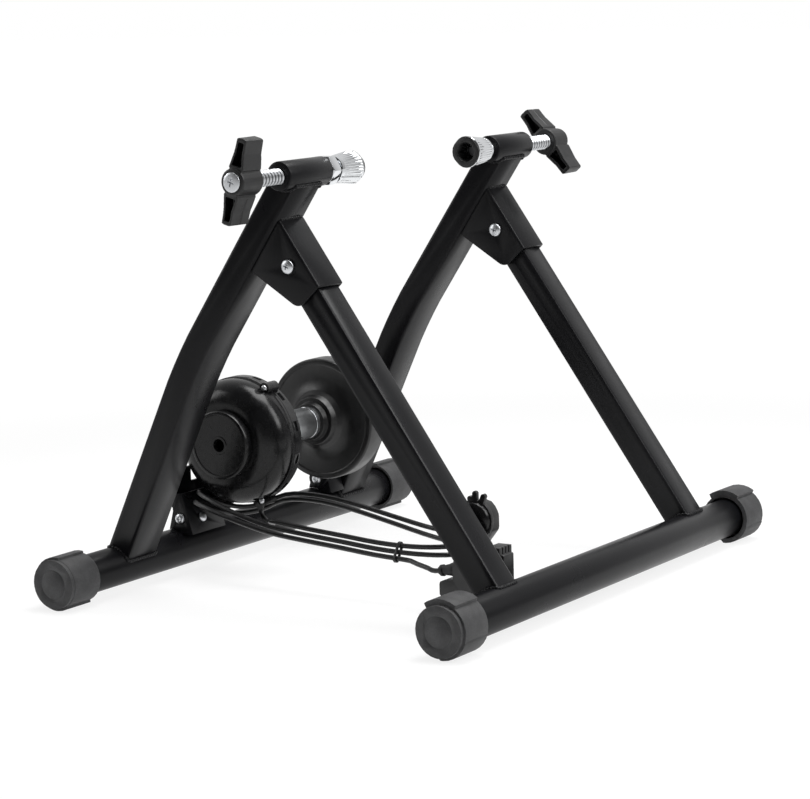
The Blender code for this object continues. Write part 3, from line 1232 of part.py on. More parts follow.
def build_gland():
    base, outward = gland_axis()
    hole = CABLE_RADIUS + GAP
    foot = 3 * GAP
    collar = foot + GLAND_COLLAR
    taper = 0.75 * GLAND_COLLAR
    profile = [(foot, hole), (foot, GLAND_RADIUS + GLAND_COLLAR), (collar, GLAND_RADIUS + GLAND_COLLAR),
               (collar, GLAND_RADIUS), (GLAND_LENGTH, GLAND_RADIUS - taper), (GLAND_LENGTH, hole)]
    gland = placed_along(lathe(profile, 0, 0, 16), base, outward)
    return finish("cable_gland", gland, rubber_black("cable_gland"), tuple(base))


def shifter_outline(band_low, band_high):
    """Side view of the body: half band, skirt under the boot, neck and head round the dial."""
    boot_back = BOOT_TIP_Y - BOOT_LENGTH - BOOT_SEAT
    underside = BOOT_TIP_Z - BOOT_RADIUS
    skirt_y = BOOT_TIP_Y - SKIRT_SETBACK
    front, back = DIAL_Y - HEAD_FRONT, DIAL_Y + HEAD_BACK
    top = DIAL_Z + HEAD_TOP
    corners = [
        (band_low, 0.0), ((BAR_Y + BAR_RADIUS, SKIRT_BASE_Z + SKIRT_EDGE), 0.006),
        ((skirt_y - 2 * SKIRT_EDGE, SKIRT_BASE_Z), 0.003), ((skirt_y, SKIRT_BASE_Z + 2 * SKIRT_EDGE), 0.002),
        ((skirt_y, underside - BOOT_SEAT), 0.003), ((boot_back, underside + BOOT_SEAT), 0.001),
        ((boot_back, NECK_Z), 0.008), ((back, DIAL_Z - 0.75 * HEAD_TOP), 0.008),
        ((back, DIAL_Z + 0.3 * HEAD_TOP), 0.010), ((DIAL_Y + 0.4 * HEAD_BACK, top), 0.010),
        ((DIAL_Y - 0.5 * HEAD_FRONT, top), 0.010), ((front, DIAL_Z + 0.2 * HEAD_TOP), 0.010),
        ((front, DIAL_Z - 0.7 * HEAD_TOP), 0.006), (band_high, 0.0),
    ]
    return rounded_outline([place for place, _ in corners], [radius for _, radius in corners], 2)


def build_shifter_body(bar_hole):
    half_band = arc(BAR_Y, BAR_Z, BAND_RADIUS, math.radians(90), math.radians(-90), 14)
    low, high = (BAR_Y - GAP / 2, BAR_Z - BAND_RADIUS), (BAR_Y - GAP / 2, BAR_Z + BAND_RADIUS)
    x0, x1 = SHIFTER_FROM + BAND_SETBACK, SHIFTER_TO - BAND_SETBACK
    inset = BODY_SETBACK - BAND_SETBACK
    name = "shifter_body"
    body = finish(name, prism(shifter_outline(low, high), x0 + inset, x1 - inset), plastic_black(name),
                  (SHIFTER_FROM, BAR_Y, BAR_Z))
    boolean(body, [helper("band", prism(half_band, x0, x1))], "UNION")
    axis, mouth = boot_axis()
    cable = placed_along(rod(-BOOT_LENGTH - 2 * BEYOND, BEYOND - BOOT_LENGTH, CABLE_RADIUS + GAP, 0, 0, 12),
                         mouth, axis)
    pin_end = SHIFTER_FROM + PIN_DEPTH + BOLT_PROUD
    pin = rod(SHIFTER_FROM - BEYOND, pin_end, PIN_RADIUS + GAP, DIAL_Y, DIAL_Z, 16)
    boolean(body, [helper("bar", bar_hole), helper("pin", pin), helper("cable", cable)])


def build_shifter_jaw(bar_hole):
    """The other half of the band with a ribbed pad and a strap, which faces the floor tube."""
    x0, x1 = SHIFTER_FROM + BAND_SETBACK, SHIFTER_TO - BAND_SETBACK
    half_band = arc(BAR_Y - GAP, BAR_Z, BAND_RADIUS, math.radians(90), math.radians(270), 14)
    name = "shifter_jaw"
    jaw = finish(name, prism(half_band, x0, x1), plastic_black(name), (SHIFTER_FROM, BAR_Y, BAR_Z))
    pad_y = BAR_Y - BAND_RADIUS - PAD_REACH
    inside = BAR_Y - BAR_RADIUS + BOLT_PROUD
    pad_top = BAR_Z + PAD_TOP
    pad = [(inside, BAR_Z - BAR_RADIUS), (inside, pad_top), (pad_y, pad_top), (pad_y, BAR_Z - PAD_BASE),
           (pad_y + PAD_CORNER, BAR_Z - PAD_BASE - PAD_CORNER)]
    boolean(jaw, [helper("pad", prism(pad, x0, x1))], "UNION")
    cutters = [helper("bar", bar_hole)]
    pitch = (x1 - x0) / PAD_RIBS
    floor = pad_y + PAD_SLIT
    slit = [(pad_y - BEYOND, BAR_Z + PAD_SLIT), (floor, BAR_Z + PAD_SLIT),
            (floor, pad_top + BEYOND), (pad_y - BEYOND, pad_top + BEYOND)]
    for index in range(1, PAD_RIBS):
        x = x0 + pitch * index
        cutters.append(helper("slit", prism(slit, x - PAD_SLIT * 0.65, x + PAD_SLIT * 0.65)))
    boolean(jaw, cutters)
    strap_y = pad_y + STRAP_SHEET / 4
    face = strap_y - STRAP_SHEET
    edge = STRAP_SHEET / 4
    corners = [(strap_y, STRAP_LOW_Z + STRAP_SHEET), (strap_y, STRAP_HIGH_Z), (face, STRAP_HIGH_Z - edge),
               (face, STRAP_LOW_Z)]
    strap = rounded_outline(corners, [0, edge / 2, edge, 0], 2)
    inset = BODY_SETBACK - BAND_SETBACK
    boolean(jaw, [helper("strap", prism(strap, x0 + inset, x1 - inset))], "UNION")


def build_shifter_lever(lever_from, lever_to):
    name = "shifter_lever"
    hub = Vector((DIAL_Y, DIAL_Z))
    ring = finish(name, rod(lever_to, lever_from, LEVER_RADIUS, DIAL_Y, DIAL_Z, 20), plastic_black(name),
                  (SHIFTER_FROM, DIAL_Y, DIAL_Z))
    half = PRONG_WIDTH / 2
    root = LEVER_RADIUS * 0.6
    prongs = []
    for angle, reach in PRONGS:
        out = Vector((-math.cos(angle), math.sin(angle)))
        across = Vector((-out.y, out.x))
        corners = [hub + out * root + across * half, hub + out * reach + across * half * 0.8,
                   hub + out * reach - across * half * 0.8, hub + out * root - across * half]
        shape = rounded_outline([tuple(c) for c in corners], [0, half / 2, half / 2, 0], 1)
        prongs.append(helper("prong", prism(shape, lever_to, lever_from - GAP)))
    boolean(ring, prongs, "UNION")
    pin_hole = rod(lever_to - BEYOND, lever_from + BEYOND, PIN_RADIUS + GAP, DIAL_Y, DIAL_Z, 16)
    boolean(ring, [helper("pin_hole", pin_hole)])


def build_shifter_dial(dome_from):
    steps = 4
    quarter = [math.pi / 2 * k / steps for k in range(steps)]
    dome = [(dome_from - DIAL_HEIGHT * math.sin(a), DIAL_RADIUS * math.cos(a)) for a in quarter]
    pin_end = SHIFTER_FROM + PIN_DEPTH
    profile = [(pin_end, 0.0), (pin_end, PIN_RADIUS), (dome_from, PIN_RADIUS)] + dome + \
        [(dome_from - DIAL_HEIGHT, 0.0)]
    name = "shifter_dial"
    finish(name, lathe(profile, DIAL_Y, DIAL_Z, 20), plastic_black(name), (SHIFTER_FROM, DIAL_Y, DIAL_Z))


def build_shifter():
    """Handlebar clamp with a dial and a pronged lever on its outer face."""
    def bar_hole():
        return rod(SHIFTER_FROM - BEYOND, SHIFTER_TO + BEYOND, BAR_RADIUS, BAR_Y, BAR_Z, 32)

    build_shifter_body(bar_hole())
    build_shifter_jaw(bar_hole())
    lever_from = SHIFTER_FROM + BODY_SETBACK - GAP
    lever_to = lever_from - LEVER_THICKNESS
    build_shifter_lever(lever_from, lever_to)
    build_shifter_dial(lever_to - GAP)


def boot_axis():
    """Unit vector out of the shifter's cable boot and the centre of its mouth."""
    axis = Vector((0, math.cos(BOOT_RISE), math.sin(BOOT_RISE)))
    return axis, Vector(((SHIFTER_FROM + SHIFTER_TO) / 2, BOOT_TIP_Y, BOOT_TIP_Z))


def build_boot():
    axis, mouth = boot_axis()
    hole = CABLE_RADIUS + GAP
    back = -BOOT_LENGTH
    r = BOOT_RADIUS
    profile = [(back, hole), (back, r * 0.93), (back + r / 2, r), (back + r * 0.83, r * 0.87),
               (-r * 0.83, r * 0.70), (-r * 0.80, r * 0.87), (-r / 3, r * 0.83), (-r / 5, r * 0.60),
               (0.0, r * 0.57), (0.0, hole)]
    boot = placed_along(lathe(profile, 0, 0, 14), mouth, axis)
    return finish("cable_boot", boot, rubber_black("cable_boot"), tuple(mouth))


def spline(points, position, closed):
    """A Catmull-Rom curve through points, at a position counted in points."""
    count = len(points)
    index = math.floor(position)
    local = position - index

    def near(k):
        return Vector(points[k % count]) if closed else Vector(points[min(max(k, 0), count - 1)])

    a, b, c, d = (near(index + k) for k in (-1, 0, 1, 2))
    return 0.5 * (2 * b + (c - a) * local + (2 * a - 5 * b + 4 * c - d) * local ** 2
                  + (3 * b - a - 3 * c + d) * local ** 3)


def smooth_step(value):
    value = min(max(value, 0.0), 1.0)
    return value * value * (3 - 2 * value)


def hank_point(turn):
    """A point of the hank after a number of turns; each turn climbs one step along its far run."""
    share = turn % 1.0
    middle = spline(HANK_ROUTE, share * len(HANK_ROUTE), True)
    climb = smooth_step((share - HANK_CLIMB_FROM) / HANK_CLIMB_SHARE)
    level = math.floor(turn) + climb - HANK_LOOPS / 2
    ends = math.cos(2 * math.pi * (share - HANK_END_AT)) ** 4
    spread = HANK_STEP * (1.0 + HANK_ENDS_SPREAD * ends)
    offset = Vector((-math.cos(HANK_LEAN), 0.0, -math.sin(HANK_LEAN))) * spread * level
    return middle + offset


def cable_points():
    gland, outward = gland_axis()
    axis, mouth = boot_axis()
    straight = 2 * CABLE_RADIUS
    first = [gland - outward * CABLE_RADIUS / 2, gland + outward * (GLAND_LENGTH + straight)]
    last = [mouth + axis * straight, mouth - axis * (BOOT_LENGTH - CABLE_RADIUS)]
    step = 1.0 / HANK_POINTS_PER_LOOP
    turns = []
    turn = HANK_FROM
    while turn < HANK_LOOPS + HANK_TO:
        turns.append(hank_point(turn))
        turn += step
    controls = first + [Vector(p) for p in LEAD_IN] + turns + [Vector(p) for p in LEAD_OUT] + last
    points = []
    for index in range(len(controls) - 1):
        length = (controls[index + 1] - controls[index]).length
        in_hank = 3 < index < 3 + len(turns)
        straight_end = index in (0, len(controls) - 2)
        parts = 1 if in_hank or straight_end else max(1, math.ceil(length / CABLE_POINT_SPACING))
        for part in range(parts):
            points.append(spline(controls, index + part / parts, False))
    points.append(controls[-1])
    return points


def report_cable(points):
    """Print the cable's length and its least gap to itself, measured between its runs."""
    fine = []
    for index in range(len(points) - 1):
        for part in range(4):
            fine.append(points[index].lerp(points[index + 1], part / 4))
    length = sum((b - a).length for a, b in zip(points, points[1:]))
    same_run = 24
    gap = min((fine[i] - fine[j]).length for i in range(len(fine)) for j in range(i + same_run, len(fine)))
    clear = gap - 2 * CABLE_RADIUS
    print(f"control cable: {length * 1000:.0f} mm long, least gap to itself {clear * 1000:.2f} mm")


def build_cable():
    points = cable_points()
    curve_tube("control_cable", points, CABLE_RADIUS, 1, rubber_black("control_cable"))
    report_cable(points)

    ahead = hank_point(TIE_AT + 0.01) - hank_point(TIE_AT - 0.01)
    ahead.normalize()
    runs = [hank_point(TIE_AT + k) for k in range(HANK_LOOPS + 1)]
    middle = (runs[0] + runs[-1]) / 2
    across = (runs[-1] - runs[0]) - ahead * (runs[-1] - runs[0]).dot(ahead)
    half_span = across.length / 2
    across.normalize()
    side = ahead.cross(across)
    shells = []
    for radius in (CABLE_RADIUS + 2 * GAP + TIE_WALL, CABLE_RADIUS + 2 * GAP):
        stadium = arc(half_span, 0, radius, -math.pi / 2, math.pi / 2, 6) + \
            arc(-half_span, 0, radius, math.pi / 2, 3 * math.pi / 2, 6)
        shells.append(stadium)
    mesh_data = bmesh.new()
    loops = []
    for shell in shells:
        rings = []
        for level in (-TIE_WIDTH / 2, TIE_WIDTH / 2):
            origin = middle + ahead * level
            rings.append([mesh_data.verts.new(origin + across * u + side * v) for u, v in shell])
        loops.append(rings)
    join_rings(mesh_data, loops[0])
    join_rings(mesh_data, loops[1])
    join_rings(mesh_data, [loops[0][0], loops[1][0]])
    join_rings(mesh_data, [loops[0][1], loops[1][1]])
    finish("cable_tie", mesh_data, plastic_black("cable_tie"), tuple(middle))


def curve_tube(name, points, radius, resolution, material):
    """A poly curve with a round section and filled ends."""
    data = bpy.data.curves.new(name, "CURVE")
    data.dimensions = "3D"
    data.bevel_depth = radius
    data.bevel_resolution = resolution
    data.use_fill_caps = True
    line = data.splines.new("POLY")
    line.points.add(len(points) - 1)
    for point, place in zip(line.points, points):
        point.co = (*place, 1.0)
    item = bpy.data.objects.new(name, data)
    item.data.materials.append(material)
    bpy.context.scene.collection.objects.link(item)
    return item


def build_unit_mounts():
    bolt_hole = build_web_bolt()
    right = build_seat("unit_seat_right", RIGHT_SEAT_FROM, RIGHT_SEAT_TO,
                       SEAT_LOW_TOP_FROM, RIGHT_SEAT_TO + BEYOND)
    boolean(right, [helper("bolt_hole", bolt_hole)])
    build_seat("unit_seat_left", LEFT_SEAT_FROM, LEFT_SEAT_TO, LEFT_SEAT_FROM - BEYOND, LEFT_SEAT_TO + BEYOND)
    build_right_arm()
    build_arm("unit_arm_left", LEFT_ARM_X, BEARING_RADIUS + GAP)
    arm_side = RIGHT_ARM_X + ARM_SHEET / 2
    centre = (UNIT_PIVOT_Y, UNIT_PIVOT_Z)
    radii = (UNIT_BOLT_RADIUS, UNIT_BOLT_HEAD)
    domed_bolt("unit_pivot_bolt_right", RIGHT_SEAT_FROM - GAP, arm_side + BOLT_PROUD, centre, radii,
               UNIT_BOLT_HEAD_HEIGHT)
    left_inside = LEFT_ARM_X - ARM_SHEET / 2
    domed_bolt("unit_pivot_bolt_left", left_inside - GAP, LEFT_SEAT_TO - 2 * GAP, centre, radii,
               UNIT_BOLT_HEAD_HEIGHT)
    cross = rod(arm_side + GAP, left_inside - GAP, CROSS_TUBE_RADIUS, CROSS_TUBE_Y, CROSS_TUBE_Z, 14)
    finish("unit_cross_tube", cross, steel_black("unit_cross_tube"), (0, CROSS_TUBE_Y, CROSS_TUBE_Z))


def main():
    clear_scene()
    paint("working_grey", (0.5, 0.5, 0.5), 0.5, 0.0)
    build_floor_tube("rear_floor_tube", REAR_TUBE_Y)
    build_floor_tube("front_floor_tube", FRONT_TUBE_Y)
    for side_name, side in (("right", -1), ("left", 1)):
        build_rear_leg(f"rear_leg_{side_name}", side)
        build_front_leg(f"front_leg_{side_name}", side)
        build_fold_bracket(f"fold_bracket_{side_name}", side)
        build_pivot(side_name, side)
        build_clamp_tube(f"clamp_tube_{side_name}", side)
        build_cap(f"front_cap_{side_name}", side, FRONT_TUBE_Y, FRONT_CAP_STEPS, FRONT_CAP_TURN)
        build_cap(f"rear_cap_{side_name}", side, REAR_TUBE_Y, REAR_CAP_STEPS, REAR_CAP_TURN)
    build_clamp("right", -1, RIGHT_KNOB_FACE, RIGHT_CUP_FACE, RIGHT_KNOB_TILT)
    build_clamp("left", 1, LEFT_KNOB_FACE, LEFT_CUP_FACE, LEFT_KNOB_TILT)
    build_lock_nut()
    build_unit_mounts()
    build_jack()
    build_roller_group()
    build_housing_back()
    build_housing_cover()
    build_magnet_plate()
    build_boss_cap()
    build_gland()
    build_shifter()
    build_boot()
    build_cable()


main()
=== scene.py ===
"""Looks of a folding magnetic bike trainer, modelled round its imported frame."""
import json
import math

import bpy
from bpy.props import FloatProperty, FloatVectorProperty, IntProperty, PointerProperty
from mathutils import Matrix, Vector

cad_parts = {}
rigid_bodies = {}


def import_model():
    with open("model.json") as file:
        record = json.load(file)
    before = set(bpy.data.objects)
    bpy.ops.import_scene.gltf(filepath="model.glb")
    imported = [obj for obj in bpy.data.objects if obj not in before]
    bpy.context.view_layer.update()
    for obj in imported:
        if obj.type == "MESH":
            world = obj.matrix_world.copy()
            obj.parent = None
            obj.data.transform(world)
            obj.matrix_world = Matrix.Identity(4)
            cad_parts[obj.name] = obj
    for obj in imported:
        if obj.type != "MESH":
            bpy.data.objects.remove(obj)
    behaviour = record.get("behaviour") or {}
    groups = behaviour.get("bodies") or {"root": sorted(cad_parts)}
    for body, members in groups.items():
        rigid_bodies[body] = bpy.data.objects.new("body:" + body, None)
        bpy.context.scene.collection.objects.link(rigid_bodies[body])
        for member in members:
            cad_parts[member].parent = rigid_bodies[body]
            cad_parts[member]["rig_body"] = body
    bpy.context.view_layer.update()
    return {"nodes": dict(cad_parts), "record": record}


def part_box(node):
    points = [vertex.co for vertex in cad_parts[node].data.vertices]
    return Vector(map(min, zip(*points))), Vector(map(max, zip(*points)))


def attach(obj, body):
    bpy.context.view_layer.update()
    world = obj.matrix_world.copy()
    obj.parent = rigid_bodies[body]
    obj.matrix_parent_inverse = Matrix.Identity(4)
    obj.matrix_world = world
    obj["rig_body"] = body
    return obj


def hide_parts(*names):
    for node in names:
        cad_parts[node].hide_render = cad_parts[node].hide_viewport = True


bl_info = {
    "name": "Bike Trainer",
    "version": (1, 0, 0),
    "blender": (4, 5, 0),
    "location": "View3D > Sidebar > Trainer",
    "description": "Models the pieces and finishes of a folding magnetic bike trainer",
    "category": "Add Mesh",
}

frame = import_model()
MM = 0.001
SIDES = ("right", "left")
SLOTS = {row["node"]: row["material_slot"] for row in frame["record"]["subparts"]}


def middle_of(node):
    """Where, as (y, z), the line along X runs through a round node's middle."""
    low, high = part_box(node)
    return (low.y + high.y) / 2, (low.z + high.z) / 2


def radius_of(node):
    low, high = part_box(node)
    return (high.z - low.z) / 2


# The wheel axle's line, which both clamps share, and the roller's line
AXLE = middle_of("clamp_tube_right")
UNIT = middle_of("roller")

# Sizes of the frame's source that are needed here too
CABLE_RADIUS = 0.0022
CLEARANCE = 0.0003
HOUSING_RADIUS = 0.0585
LUG_RADIUS = 5.0 * MM

# Depth of the drawn thread's V, as a share of its pitch
THREAD_DEPTH_SHARE = 0.32


def linear(hex_colour):
    """An sRGB hex value as linear red, green and blue."""
    channels = [int(hex_colour[k:k + 2], 16) / 255 for k in (0, 2, 4)]
    return [c / 12.92 if c <= 0.04045 else ((c + 0.055) / 1.055) ** 2.4 for c in channels]


# Materials, each named for what the real one is

# The middle band of a pattern's values, which is spread over all of its effect
BAND = {"From Min": 0.3, "From Max": 0.7}


def feed(tree, node, inputs):
    """Set a node's input sockets, by name or number, or link them to the outputs given."""
    for key, value in inputs.items():
        if isinstance(value, bpy.types.NodeSocket):
            tree.links.new(value, node.inputs[key])
        else:
            node.inputs[key].default_value = value


def add(tree, kind, inputs, **settings):
    """Add a node with its settings and its inputs' values and links, and return its outputs."""
    made = tree.nodes.new(kind)
    for key, value in settings.items():
        setattr(made, key, value)
    feed(tree, made, inputs)
    return made.outputs


def new_material(name, colour, roughness, metallic=0.0):
    """A material with its shader, and the Object coordinates that its patterns read."""
    material = bpy.data.materials.new(name)
    material.use_nodes = True
    tree = material.node_tree
    shader = tree.nodes["Principled BSDF"]
    feed(tree, shader, {"Base Color": (*colour, 1), "Roughness": roughness, "Metallic": metallic})
    return material, tree, shader, add(tree, "ShaderNodeTexCoord", {})["Object"]


def black_powder_coat(name, looks):
    """Black gloss powder coat on steel: a faint orange peel breaks up long reflections."""
    material, tree, shader, place = new_material(name, looks.frame_paint, 0.30)
    peel = add(tree, "ShaderNodeTexNoise", {"Vector": place, "Scale": 1 / (2.2 * MM), "Detail": 1})["Fac"]
    cloud = add(tree, "ShaderNodeTexNoise", {"Vector": place, "Scale": 1 / (45 * MM), "Detail": 2})["Fac"]
    gloss = add(tree, "ShaderNodeMapRange", {"Value": cloud, **BAND, "To Min": 0.26, "To Max": 0.34})
    bump = add(tree, "ShaderNodeBump", {"Height": peel, "Distance": 0.035 * MM, "Strength": 1})
    feed(tree, shader, {"Specular IOR Level": 0.17, "Roughness": gloss["Result"], "Normal": bump["Normal"]})
    return material


def moulded_nylon(name, looks):
    """Spark-textured glass-filled nylon: fine pits make the black look satin and greyer at its edges."""
    material, tree, shader, place = new_material(name, looks.moulding, 0.42)
    pits = add(tree, "ShaderNodeTexNoise", {"Vector": place, "Scale": 1 / (0.7 * MM), "Detail": 3})["Fac"]
    cloud = add(tree, "ShaderNodeTexNoise", {"Vector": place, "Scale": 1 / (12 * MM), "Detail": 2})["Fac"]
    gloss = add(tree, "ShaderNodeMapRange", {"Value": cloud, **BAND, "To Min": 0.38, "To Max": 0.50})
    bump = add(tree, "ShaderNodeBump", {"Height": pits, "Distance": 0.03 * MM, "Strength": 1})
    feed(tree, shader, {"Roughness": gloss["Result"], "Normal": bump["Normal"]})
    return material


def foot_pvc(name, looks):
    """Soft PVC of the floor caps: grey-black and grainy, with a dull bloom."""
    dark = looks.foot_rubber
    light = [c * 1.9 for c in dark]
    material, tree, shader, place = new_material(name, dark, 0.60)
    speck = add(tree, "ShaderNodeTexNoise", {"Vector": place, "Scale": 1 / (0.9 * MM), "Detail": 4})["Fac"]
    cloud = add(tree, "ShaderNodeTexNoise", {"Vector": place, "Scale": 1 / (9 * MM), "Detail": 3})["Fac"]
    both = add(tree, "ShaderNodeMath", {0: speck, 1: cloud}, operation="MULTIPLY")["Value"]
    shade = add(tree, "ShaderNodeMapRange", {"Value": both, "From Min": 0.15, "From Max": 0.40})["Result"]
    bloom = add(tree, "ShaderNodeMix", {"Factor": shade, "A": (*dark, 1), "B": (*light, 1)}, data_type="RGBA")
    bump = add(tree, "ShaderNodeBump", {"Height": speck, "Distance": 0.06 * MM, "Strength": 1})
    feed(tree, shader, {"Base Color": bloom["Result"], "Normal": bump["Normal"]})
    return material


def gloss_abs(name, looks):
    """Polished ABS of the magnet housing: sharp reflections with slight sink marks."""
    material, tree, shader, place = new_material(name, looks.housing, 0.22)
    sink = add(tree, "ShaderNodeTexNoise", {"Vector": place, "Scale": 1 / (16 * MM), "Detail": 1})["Fac"]
    haze = add(tree, "ShaderNodeTexNoise", {"Vector": place, "Scale": 1 / (5 * MM), "Detail": 3})["Fac"]
    gloss = add(tree, "ShaderNodeMapRange", {"Value": haze, **BAND, "To Min": 0.18, "To Max": 0.30})
    bump = add(tree, "ShaderNodeBump", {"Height": sink, "Distance": 0.25 * MM, "Strength": 1})
    feed(tree, shader, {"Specular IOR Level": 0.28, "Roughness": gloss["Result"], "Normal": bump["Normal"]})
    return material


def cable_pvc(name, looks):
    """Extruded PVC sheath: smooth black with a slightly waxy shine."""
    material, tree, shader, place = new_material(name, looks.cable, 0.34)
    wax = add(tree, "ShaderNodeTexNoise", {"Vector": place, "Scale": 1 / (3 * MM), "Detail": 2})["Fac"]
    gloss = add(tree, "ShaderNodeMapRange", {"Value": wax, **BAND, "To Min": 0.28, "To Max": 0.42})
    bump = add(tree, "ShaderNodeBump", {"Height": wax, "Distance": 0.04 * MM, "Strength": 1})
    feed(tree, shader, {"Roughness": gloss["Result"], "Normal": bump["Normal"]})
    return material


def soft_rubber(name, looks):
    """Black rubber of the boot and the gland: matt, with a fine skin."""
    material, tree, shader, place = new_material(name, looks.moulding, 0.62)
    skin = add(tree, "ShaderNodeTexNoise", {"Vector": place, "Scale": 1 / (0.6 * MM), "Detail": 3})["Fac"]
    bump = add(tree, "ShaderNodeBump", {"Height": skin, "Distance": 0.04 * MM, "Strength": 1})
    feed(tree, shader, {"Normal": bump["Normal"]})
    return material


def bright_zinc(name, looks):
    """Clear-passivated zinc plate: pale grey metal, softly clouded."""
    material, tree, shader, place = new_material(name, looks.zinc, 0.34, metallic=1.0)
    cloud = add(tree, "ShaderNodeTexNoise", {"Vector": place, "Scale": 1 / (1.6 * MM), "Detail": 3})["Fac"]
    gloss = add(tree, "ShaderNodeMapRange", {"Value": cloud, **BAND, "To Min": 0.28, "To Max": 0.42})
    bump = add(tree, "ShaderNodeBump", {"Height": cloud, "Distance": 0.003 * MM, "Strength": 1})
    feed(tree, shader, {"Roughness": gloss["Result"], "Normal": bump["Normal"]})
    return material


def oiled_thread(name, looks):
    """Zinc plate of a cut thread: bright crests, and roots painted dark, for old oil and as painted shade in
    the hollows.

    The thread is drawn coarser than the real one, so that it shows.
    """
    material, tree, shader, place = new_material(name, looks.zinc, 0.34, metallic=1.0)
    across = add(tree, "ShaderNodeVectorMath", {0: place, 1: (0, 1, 1)}, operation="MULTIPLY")["Vector"]
    away = add(tree, "ShaderNodeVectorMath", {0: across, 1: (0, *AXLE)}, operation="DISTANCE")["Value"]
    height = add(tree, "ShaderNodeMapRange", {"Value": away, "From Min": 5.8 * MM, "From Max": 6.7 * MM})
    # The roots' dark colour is old oil and painted shade in the thread's hollows
    oil_and_painted_shade = [c * 0.12 for c in looks.zinc]
    plate = add(tree, "ShaderNodeMix", {"Factor": height["Result"], "A": (*oil_and_painted_shade, 1), "B": (*looks.zinc, 1)},
                data_type="RGBA")
    feed(tree, shader, {"Base Color": plate["Result"]})
    return material


def chrome_plate(name, looks):
    """Nickel-chrome plate: mirror bright, with a trace of polishing haze."""
    material, tree, shader, place = new_material(name, looks.chrome, 0.06, metallic=1.0)
    haze = add(tree, "ShaderNodeTexNoise", {"Vector": place, "Scale": 1 / (2.5 * MM), "Detail": 2})["Fac"]
    gloss = add(tree, "ShaderNodeMapRange", {"Value": haze, **BAND, "To Min": 0.04, "To Max": 0.10})
    feed(tree, shader, {"Roughness": gloss["Result"]})
    return material


def black_enamel(name, looks):
    """Stoved black enamel on the turned flywheel: satin, with a faint flow in it."""
    material, tree, shader, place = new_material(name, looks.flywheel, 0.34)
    flow = add(tree, "ShaderNodeTexNoise", {"Vector": place, "Scale": 1 / (10 * MM), "Detail": 1})["Fac"]
    gloss = add(tree, "ShaderNodeMapRange", {"Value": flow, **BAND, "To Min": 0.30, "To Max": 0.40})
    bump = add(tree, "ShaderNodeBump", {"Height": flow, "Distance": 0.12 * MM, "Strength": 1})
    feed(tree, shader, {"Roughness": gloss["Result"], "Normal": bump["Normal"]})
    return material


def turned_steel(name, looks):
    """Lathe-turned roller steel: fine rings round the axle spread its highlight along X."""
    material, tree, shader, place = new_material(name, looks.roller, 0.30, metallic=1.0)
    # Rings 0.5 mm apart: a wave's bands are 2 pi / 20 / Scale apart
    scale = 2 * math.pi / 20 / (0.5 * MM)
    rings = add(tree, "ShaderNodeTexWave", {"Vector": place, "Scale": scale, "Distortion": 1.5, "Detail": 2},
                bands_direction="X")["Fac"]
    gloss = add(tree, "ShaderNodeMapRange", {"Value": rings, **BAND, "To Min": 0.20, "To Max": 0.32})
    bump = add(tree, "ShaderNodeBump", {"Height": rings, "Distance": 0.002 * MM, "Strength": 1})
    feed(tree, shader, {"Roughness": gloss["Result"], "Normal": bump["Normal"]})
    return material


# The record's material slots, and the finishes that only this script tells apart
FINISHES = {
    "black_paint": black_powder_coat,
    "black_plastic": moulded_nylon,
    "gloss_plastic": gloss_abs,
    "black_rubber": soft_rubber,
    "cable_sheath": cable_pvc,
    "zinc": bright_zinc,
    "thread": oiled_thread,
    "chrome": chrome_plate,
    "flywheel_black": black_enamel,
    "roller_steel": turned_steel,
    "foot": foot_pvc,
}
FOOT_NODES = [f"{end}_cap_{side}" for end in ("front", "rear") for side in SIDES]
GLOSS_NODES = ["housing_back", "housing_cover", "boss_cap"]


def material_of(finish):
    """The finish's material, made the first time that it is asked for."""
    make = FINISHES[finish]
    name = make.__name__
    return bpy.data.materials.get(name) or make(name, bpy.context.scene.trainer_colours)


def finish_of(node):
    if node in FOOT_NODES:
        return "foot"
    return "gloss_plastic" if node in GLOSS_NODES else SLOTS[node]


def coat(item, finish):
    item.data.materials.clear()
    item.data.materials.append(material_of(finish))


# Modelling helpers


def leave_edit():
    if bpy.context.mode != "OBJECT":
        bpy.ops.object.mode_set(mode="OBJECT")


def clear_selection():
    leave_edit()
    bpy.ops.object.select_all(action="DESELECT")


def pick(item):
    clear_selection()
    bpy.context.view_layer.objects.active = item
    item.select_set(True)


def edit():
    bpy.ops.object.mode_set(mode="EDIT")


def select_mesh():
    bpy.ops.mesh.select_all(action="SELECT")


def point_outwards():
    """Recalculate the normals of the mesh in edit mode, and leave it active in object mode."""
    bpy.ops.mesh.normals_make_consistent(inside=False)
    leave_edit()
    return bpy.context.object


def copy_of(node):
    """A copy of a node's mesh with its triangles joined into whole faces, left active."""
    source = frame["nodes"][node]
    item = bpy.data.objects.new(node + "_piece", source.data.copy())
    bpy.context.scene.collection.objects.link(item)
    pick(item)
    edit()
    select_mesh()
    bpy.ops.mesh.remove_doubles(threshold=0.001 * MM)
    bpy.ops.mesh.dissolve_limited(angle_limit=math.radians(1))
    leave_edit()
    return item


def modify(kind, **settings):
    """Add a modifier to the active piece and apply it."""
    item = bpy.context.object
    bpy.ops.object.modifier_add(type=kind)
    modifier = item.modifiers[-1]
    for key, value in settings.items():
        setattr(modifier, key, value)
    bpy.ops.object.modifier_apply(modifier=modifier.name)


def round_edges(width, segments=2, angle=32):
    """Round the active piece's edges that are sharper than an angle in degrees."""
    modify("BEVEL", width=width, segments=segments, limit_method="ANGLE", angle_limit=math.radians(angle),
           harden_normals=False, use_clamp_overlap=True)


def flatten_shading():
    """Keep the active piece's flats flat in the light beside its rounded edges."""
    modify("WEIGHTED_NORMAL", keep_sharp=True)


